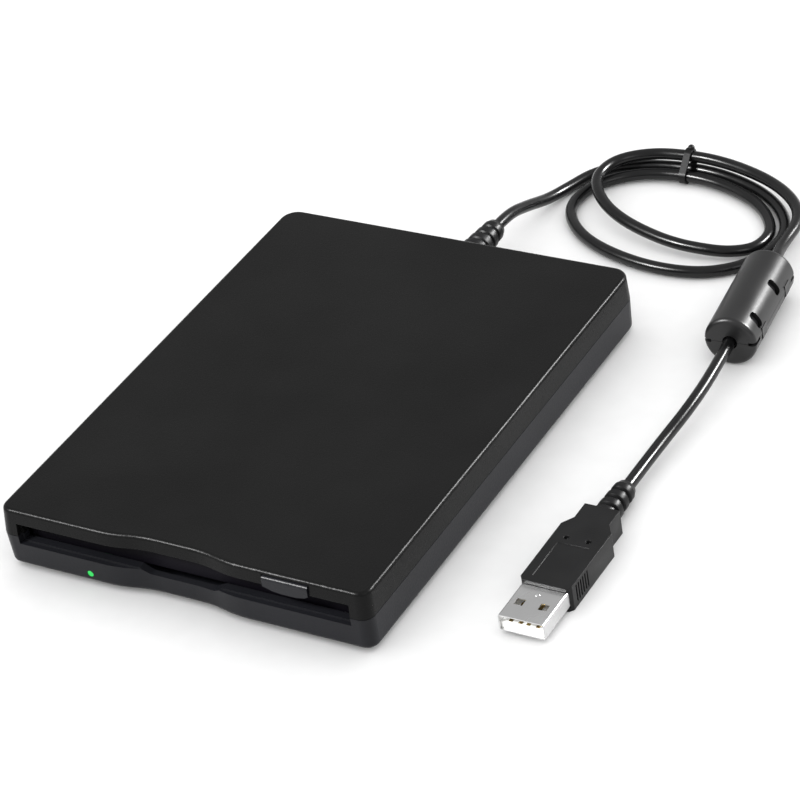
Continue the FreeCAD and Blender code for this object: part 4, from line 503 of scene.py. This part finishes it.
def cord_piece():
    """The whole jacket from the strain relief to the plug, one round spline."""
    route = EXIT_ROUTE[:-1] + hank_points() + FRONT_ROUTE[1:]
    curve = bpy.data.curves.new("cord_jacket", "CURVE")
    curve.dimensions = "3D"
    curve.bevel_depth = CORD_RADIUS * MM
    curve.bevel_resolution = 6
    curve.resolution_u = 12
    curve.use_fill_caps = True
    spline = curve.splines.new("NURBS")
    spline.points.add(len(route) - 1)
    for point, place in zip(spline.points, route):
        point.co = (*mm(*place), 1)
    spline.order_u = 3
    spline.use_endpoint_u = True
    cord = bpy.data.objects.new("cord_jacket", curve)
    bpy.context.scene.collection.objects.link(cord)
    curve.materials.append(CORD)
    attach(cord, "case")
    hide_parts("cord_exit_run", "cord_coil", "cord_front_run")
    return cord


def finished(name, shape, material, body, slot, *nodes, angle=35):
    """A bmesh made an object, shaded smooth but for its sharp edges."""
    bmesh.ops.recalc_face_normals(shape, faces=shape.faces)
    mesh = bpy.data.meshes.new(name)
    shape.to_mesh(mesh)
    shape.free()
    for face in mesh.polygons:
        face.use_smooth = True
    mesh.set_sharp_from_angle(angle=math.radians(angle))
    mesh.materials.append(material)
    piece = bpy.data.objects.new(name, mesh)
    bpy.context.scene.collection.objects.link(piece)
    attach(piece, body)
    if nodes:
        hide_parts(*nodes)
    return piece


def carved(shape, cutters):
    """The first bmesh without the others, cut exactly."""
    made = []
    for number, part in enumerate([shape] + cutters):
        bmesh.ops.recalc_face_normals(part, faces=part.faces)
        mesh = bpy.data.meshes.new("carving_%d" % number)
        part.to_mesh(mesh)
        part.free()
        thing = bpy.data.objects.new("carving_%d" % number, mesh)
        bpy.context.scene.collection.objects.link(thing)
        made.append(thing)
    for cutter in made[1:]:
        modifier = made[0].modifiers.new("cut", "BOOLEAN")
        modifier.operation = "DIFFERENCE"
        modifier.solver = "EXACT"
        modifier.object = cutter
    bpy.context.view_layer.update()
    graph = bpy.context.evaluated_depsgraph_get()
    result = bpy.data.meshes.new_from_object(made[0].evaluated_get(graph))
    shape = bmesh.new()
    shape.from_mesh(result)
    for thing in made:
        bpy.data.objects.remove(thing)
    return shape


def block(low, high):
    """A block between two corners in millimetres."""
    shape = bmesh.new()
    bmesh.ops.create_cube(shape, size=1)
    middle = (mm(*low) + mm(*high)) / 2
    bmesh.ops.scale(shape, vec=mm(*high) - mm(*low), verts=shape.verts)
    bmesh.ops.translate(shape, vec=middle, verts=shape.verts)
    return shape


def spun(profile, place, axis=(0, 1, 0), steps=64):
    """A profile of distance along the axis and radius, in millimetres, turned full circle."""
    shape = bmesh.new()
    verts = [shape.verts.new((radius * MM, along * MM, 0)) for along, radius in profile]
    edges = [shape.edges.new(pair) for pair in zip(verts, verts[1:])]
    bmesh.ops.spin(shape, geom=verts + edges, cent=(0, 0, 0), axis=(0, 1, 0), angle=math.tau,
                   steps=steps, use_merge=True, use_duplicate=False)
    bmesh.ops.remove_doubles(shape, verts=shape.verts, dist=1e-7)
    turn = Vector((0, 1, 0)).rotation_difference(Vector(axis)).to_matrix().to_4x4()
    bmesh.ops.transform(shape, matrix=Matrix.Translation(mm(*place)) @ turn, verts=shape.verts)
    return shape


PLUG_X, PLUG_BACK, PLUG_FRONT, PLUG_TOP = 81.4, -10.0, -40.6, 6.8
PLUG_HALF, PLUG_WAIST = 6.65, 4.65
PANEL_HALF, PANEL_START, PANEL_END, PANEL_DEPTH = 4.1, 2.2, 15.3, 0.2
ROOM_HALF, ROOM_LOW, ROOM_HIGH, ROOM_LENGTH = 6.05, 1.1, 5.7, 7.9
DIMPLE_X, DIMPLE_Y = 2.9, 17.4
DIMPLE_PROFILE = [(-0.9, 0), (-0.8, 0.5), (0, 0.72), (1, 0.8), (1, 0)]
RIB_COUNT, RIB_START, RIB_STEP, RIB_HALF, RIB_DEPTH = 6, 3.2, 1.12, 0.24, 0.5
GRIP_ROUNDING = 0.2
RELIEF_GROOVE = 0.8


def plug_grip():
    """The grip: waisted at the back, with a sunk bare panel, two dimples and ribs on its sides."""
    outline = [(-PLUG_HALF + 0.9, PLUG_FRONT), (PLUG_HALF - 0.9, PLUG_FRONT),
               (PLUG_HALF, PLUG_FRONT + 1.2), (PLUG_HALF, PLUG_BACK - 8.6),
               (PLUG_WAIST, PLUG_BACK - 5.6), (PLUG_WAIST, PLUG_BACK),
               (-PLUG_WAIST, PLUG_BACK), (-PLUG_WAIST, PLUG_BACK - 5.6),
               (-PLUG_HALF, PLUG_BACK - 8.6), (-PLUG_HALF, PLUG_FRONT + 1.2)]
    shape = bmesh.new()
    face = shape.faces.new([shape.verts.new(mm(PLUG_X + x, y, 0)) for x, y in outline])
    raised = bmesh.ops.extrude_face_region(shape, geom=[face])
    lifted = [v for v in raised["geom"] if isinstance(v, bmesh.types.BMVert)]
    bmesh.ops.translate(shape, vec=mm(0, 0, PLUG_TOP), verts=lifted)
    panel = block((PLUG_X - PANEL_HALF, PLUG_FRONT + PANEL_START, PLUG_TOP - PANEL_DEPTH),
                  (PLUG_X + PANEL_HALF, PLUG_FRONT + PANEL_END, 9))
    room = block((PLUG_X - ROOM_HALF, PLUG_FRONT - 1, ROOM_LOW),
                 (PLUG_X + ROOM_HALF, PLUG_FRONT + ROOM_LENGTH, ROOM_HIGH))
    cutters = [panel, room]
    for side in (-1, 1):
        place = (PLUG_X + side * DIMPLE_X, PLUG_FRONT + DIMPLE_Y, PLUG_TOP)
        cutters.append(spun(DIMPLE_PROFILE, place, (0, 0, 1), 24))
        edge = PLUG_X + side * PLUG_HALF
        for rib in range(RIB_COUNT):
            y = PLUG_FRONT + RIB_START + RIB_STEP * rib
            cutters.append(block((edge - RIB_DEPTH, y - RIB_HALF, 1.2),
                                 (edge + RIB_DEPTH, y + RIB_HALF, PLUG_TOP - 0.9)))
    grip = finished("plug_grip", carved(shape, cutters), GRIP, "case", "cord_jacket",
                    "plug_overmould")
    rounding = grip.modifiers.new("rounding", "BEVEL")
    rounding.width = GRIP_ROUNDING * MM
    rounding.segments = 3
    rounding.limit_method = "ANGLE"
    rounding.angle_limit = math.radians(28)
    return grip


def relief_profile(length, base, tip, ribs):
    """Ribs with rounded rims, tapering from base to tip."""
    profile = [(0, 0)]
    step = length / ribs
    for number in range(ribs):
        radius = base + (tip - base) * number / (ribs - 1)
        start = number * step
        profile += [(start, radius - 0.25), (start + 0.14, radius - 0.06), (start + 0.35, radius),
                    (start + 0.58 * step - 0.1, radius - 0.02),
                    (start + 0.58 * step + 0.12, radius - 0.2)]
        if number < ribs - 1:
            profile += [(start + 0.64 * step, radius - RELIEF_GROOVE),
                        (start + 0.94 * step, radius - RELIEF_GROOVE)]
    profile += [(length - 0.1, tip - 0.5), (length, 1.55), (length, 0)]
    return profile


def sleeve(name, profile, place, *nodes):
    """A ribbed sleeve round the cord, from its profile."""
    return finished(name, spun(profile, place), GRIP, "case", "cord_jacket", *nodes, angle=28)


def plug_sleeve():
    """The short sleeve behind the plug's grip."""
    profile = relief_profile(length=13.2, base=3.35, tip=2.9, ribs=4)
    return sleeve("plug_sleeve", profile, (PLUG_X, PLUG_BACK - 0.8, 3.4))


def exit_sleeve():
    """The strain relief in the back wall, with its collar inside the case."""
    wall = [(-3.5, 0), (-3.5, 5.0), (-3.3, 5.2), (-1.95, 5.2), (-1.8, 5.05), (-1.8, 3.7),
            (-0.01, 3.7)]
    profile = wall + relief_profile(length=17, base=4.3, tip=3.1, ribs=5)[1:]
    return sleeve("exit_sleeve", profile, (2, 70, 10.2), "cord_strain_relief")


cord_jacket = cord_piece()
plug_grip_piece = plug_grip()
plug_sleeve_piece = plug_sleeve()
exit_sleeve_piece = exit_sleeve()
CORD_PIECES = [plug_grip_piece, plug_sleeve_piece, exit_sleeve_piece, NODES["cord_tie"]]
CORD_PIECES += [NODES[n] for n in ("plug_shell", "plug_tongue", "plug_contacts")]
CORD_PIECES += [NODES["ferrite_%s_%s" % (part, half)] for part in ("case", "core")
                for half in ("lower", "upper")]


# Floor, world and lamps


FLOOR_HALF = 6
FLOOR_DROP = 0.00002
SKY = 1.4
SKY_SEEN_BY = (("Is Camera Ray", -0.4), ("Is Transmission Ray", -0.4), ("Is Glossy Ray", -0.86))


def floor():
    """The pale sheet that the object stands on."""
    paint = Paint("floor_paper", (0.86, 0.86, 0.86), 0.9, Specular_IOR_Level=0.0)
    grain = paint.noise(160, 2.0)
    paint.set("Base Color", paint.mix(paint.spread(grain), (0.85, 0.85, 0.85), (0.87, 0.87, 0.87)))
    shape = bmesh.new()
    bmesh.ops.create_grid(shape, x_segments=1, y_segments=1, size=FLOOR_HALF)
    bmesh.ops.translate(shape, vec=(0, 0, -FLOOR_DROP), verts=shape.verts)
    mesh = bpy.data.meshes.new("floor")
    shape.to_mesh(mesh)
    shape.free()
    mesh.materials.append(paint.material)
    sheet = bpy.data.objects.new("floor", mesh)
    bpy.context.scene.collection.objects.link(sheet)


def world():
    """A white sky, dimmer where the camera or a reflection sees it."""
    made = bpy.data.worlds.new("studio")
    bpy.context.scene.world = made
    made.use_nodes = True
    tree = made.node_tree
    background = tree.nodes["Background"]
    background.inputs["Color"].default_value = (1, 1, 1, 1)
    path = tree.nodes.new("ShaderNodeLightPath")
    before = None
    for ray, change in SKY_SEEN_BY:
        strength = tree.nodes.new("ShaderNodeMath")
        strength.operation = "MULTIPLY_ADD"
        strength.inputs[1].default_value = change
        strength.inputs[2].default_value = SKY
        tree.links.new(path.outputs[ray], strength.inputs[0])
        if before:
            tree.links.new(before.outputs[0], strength.inputs[2])
        before = strength
    tree.links.new(before.outputs[0], background.inputs["Strength"])


OBJECT_ONLY = bpy.data.collections.new("object_only")


def lamp(name, place, aim, width, energy):
    """A square lamp that lights the object and leaves the floor to the sky."""
    data = bpy.data.lights.new(name, "AREA")
    data.shape = "SQUARE"
    data.size = width
    data.energy = energy
    light = bpy.data.objects.new(name, data)
    light.location = place
    light.rotation_euler = (Vector(aim) - Vector(place)).to_track_quat("-Z", "Y").to_euler()
    bpy.context.scene.collection.objects.link(light)
    light.light_linking.receiver_collection = OBJECT_ONLY


for thing in list(bpy.context.scene.objects):
    if thing.type in ("MESH", "CURVE"):
        OBJECT_ONLY.objects.link(thing)
floor()
world()
lamp("key", place=(0.9, -0.5, 0.75), aim=(0.02, 0.02, 0), width=0.5, energy=1.5)
lamp("front_edge", place=(-0.56, -0.68, 0.80), aim=(0, -0.07, 0.0175), width=0.26, energy=20.0)
lamp("side_edge", place=(0.70, 0.80, 0.56), aim=(0.05, 0, 0.0175), width=0.26, energy=24.0)
bpy.context.scene.view_settings.view_transform = "Standard"
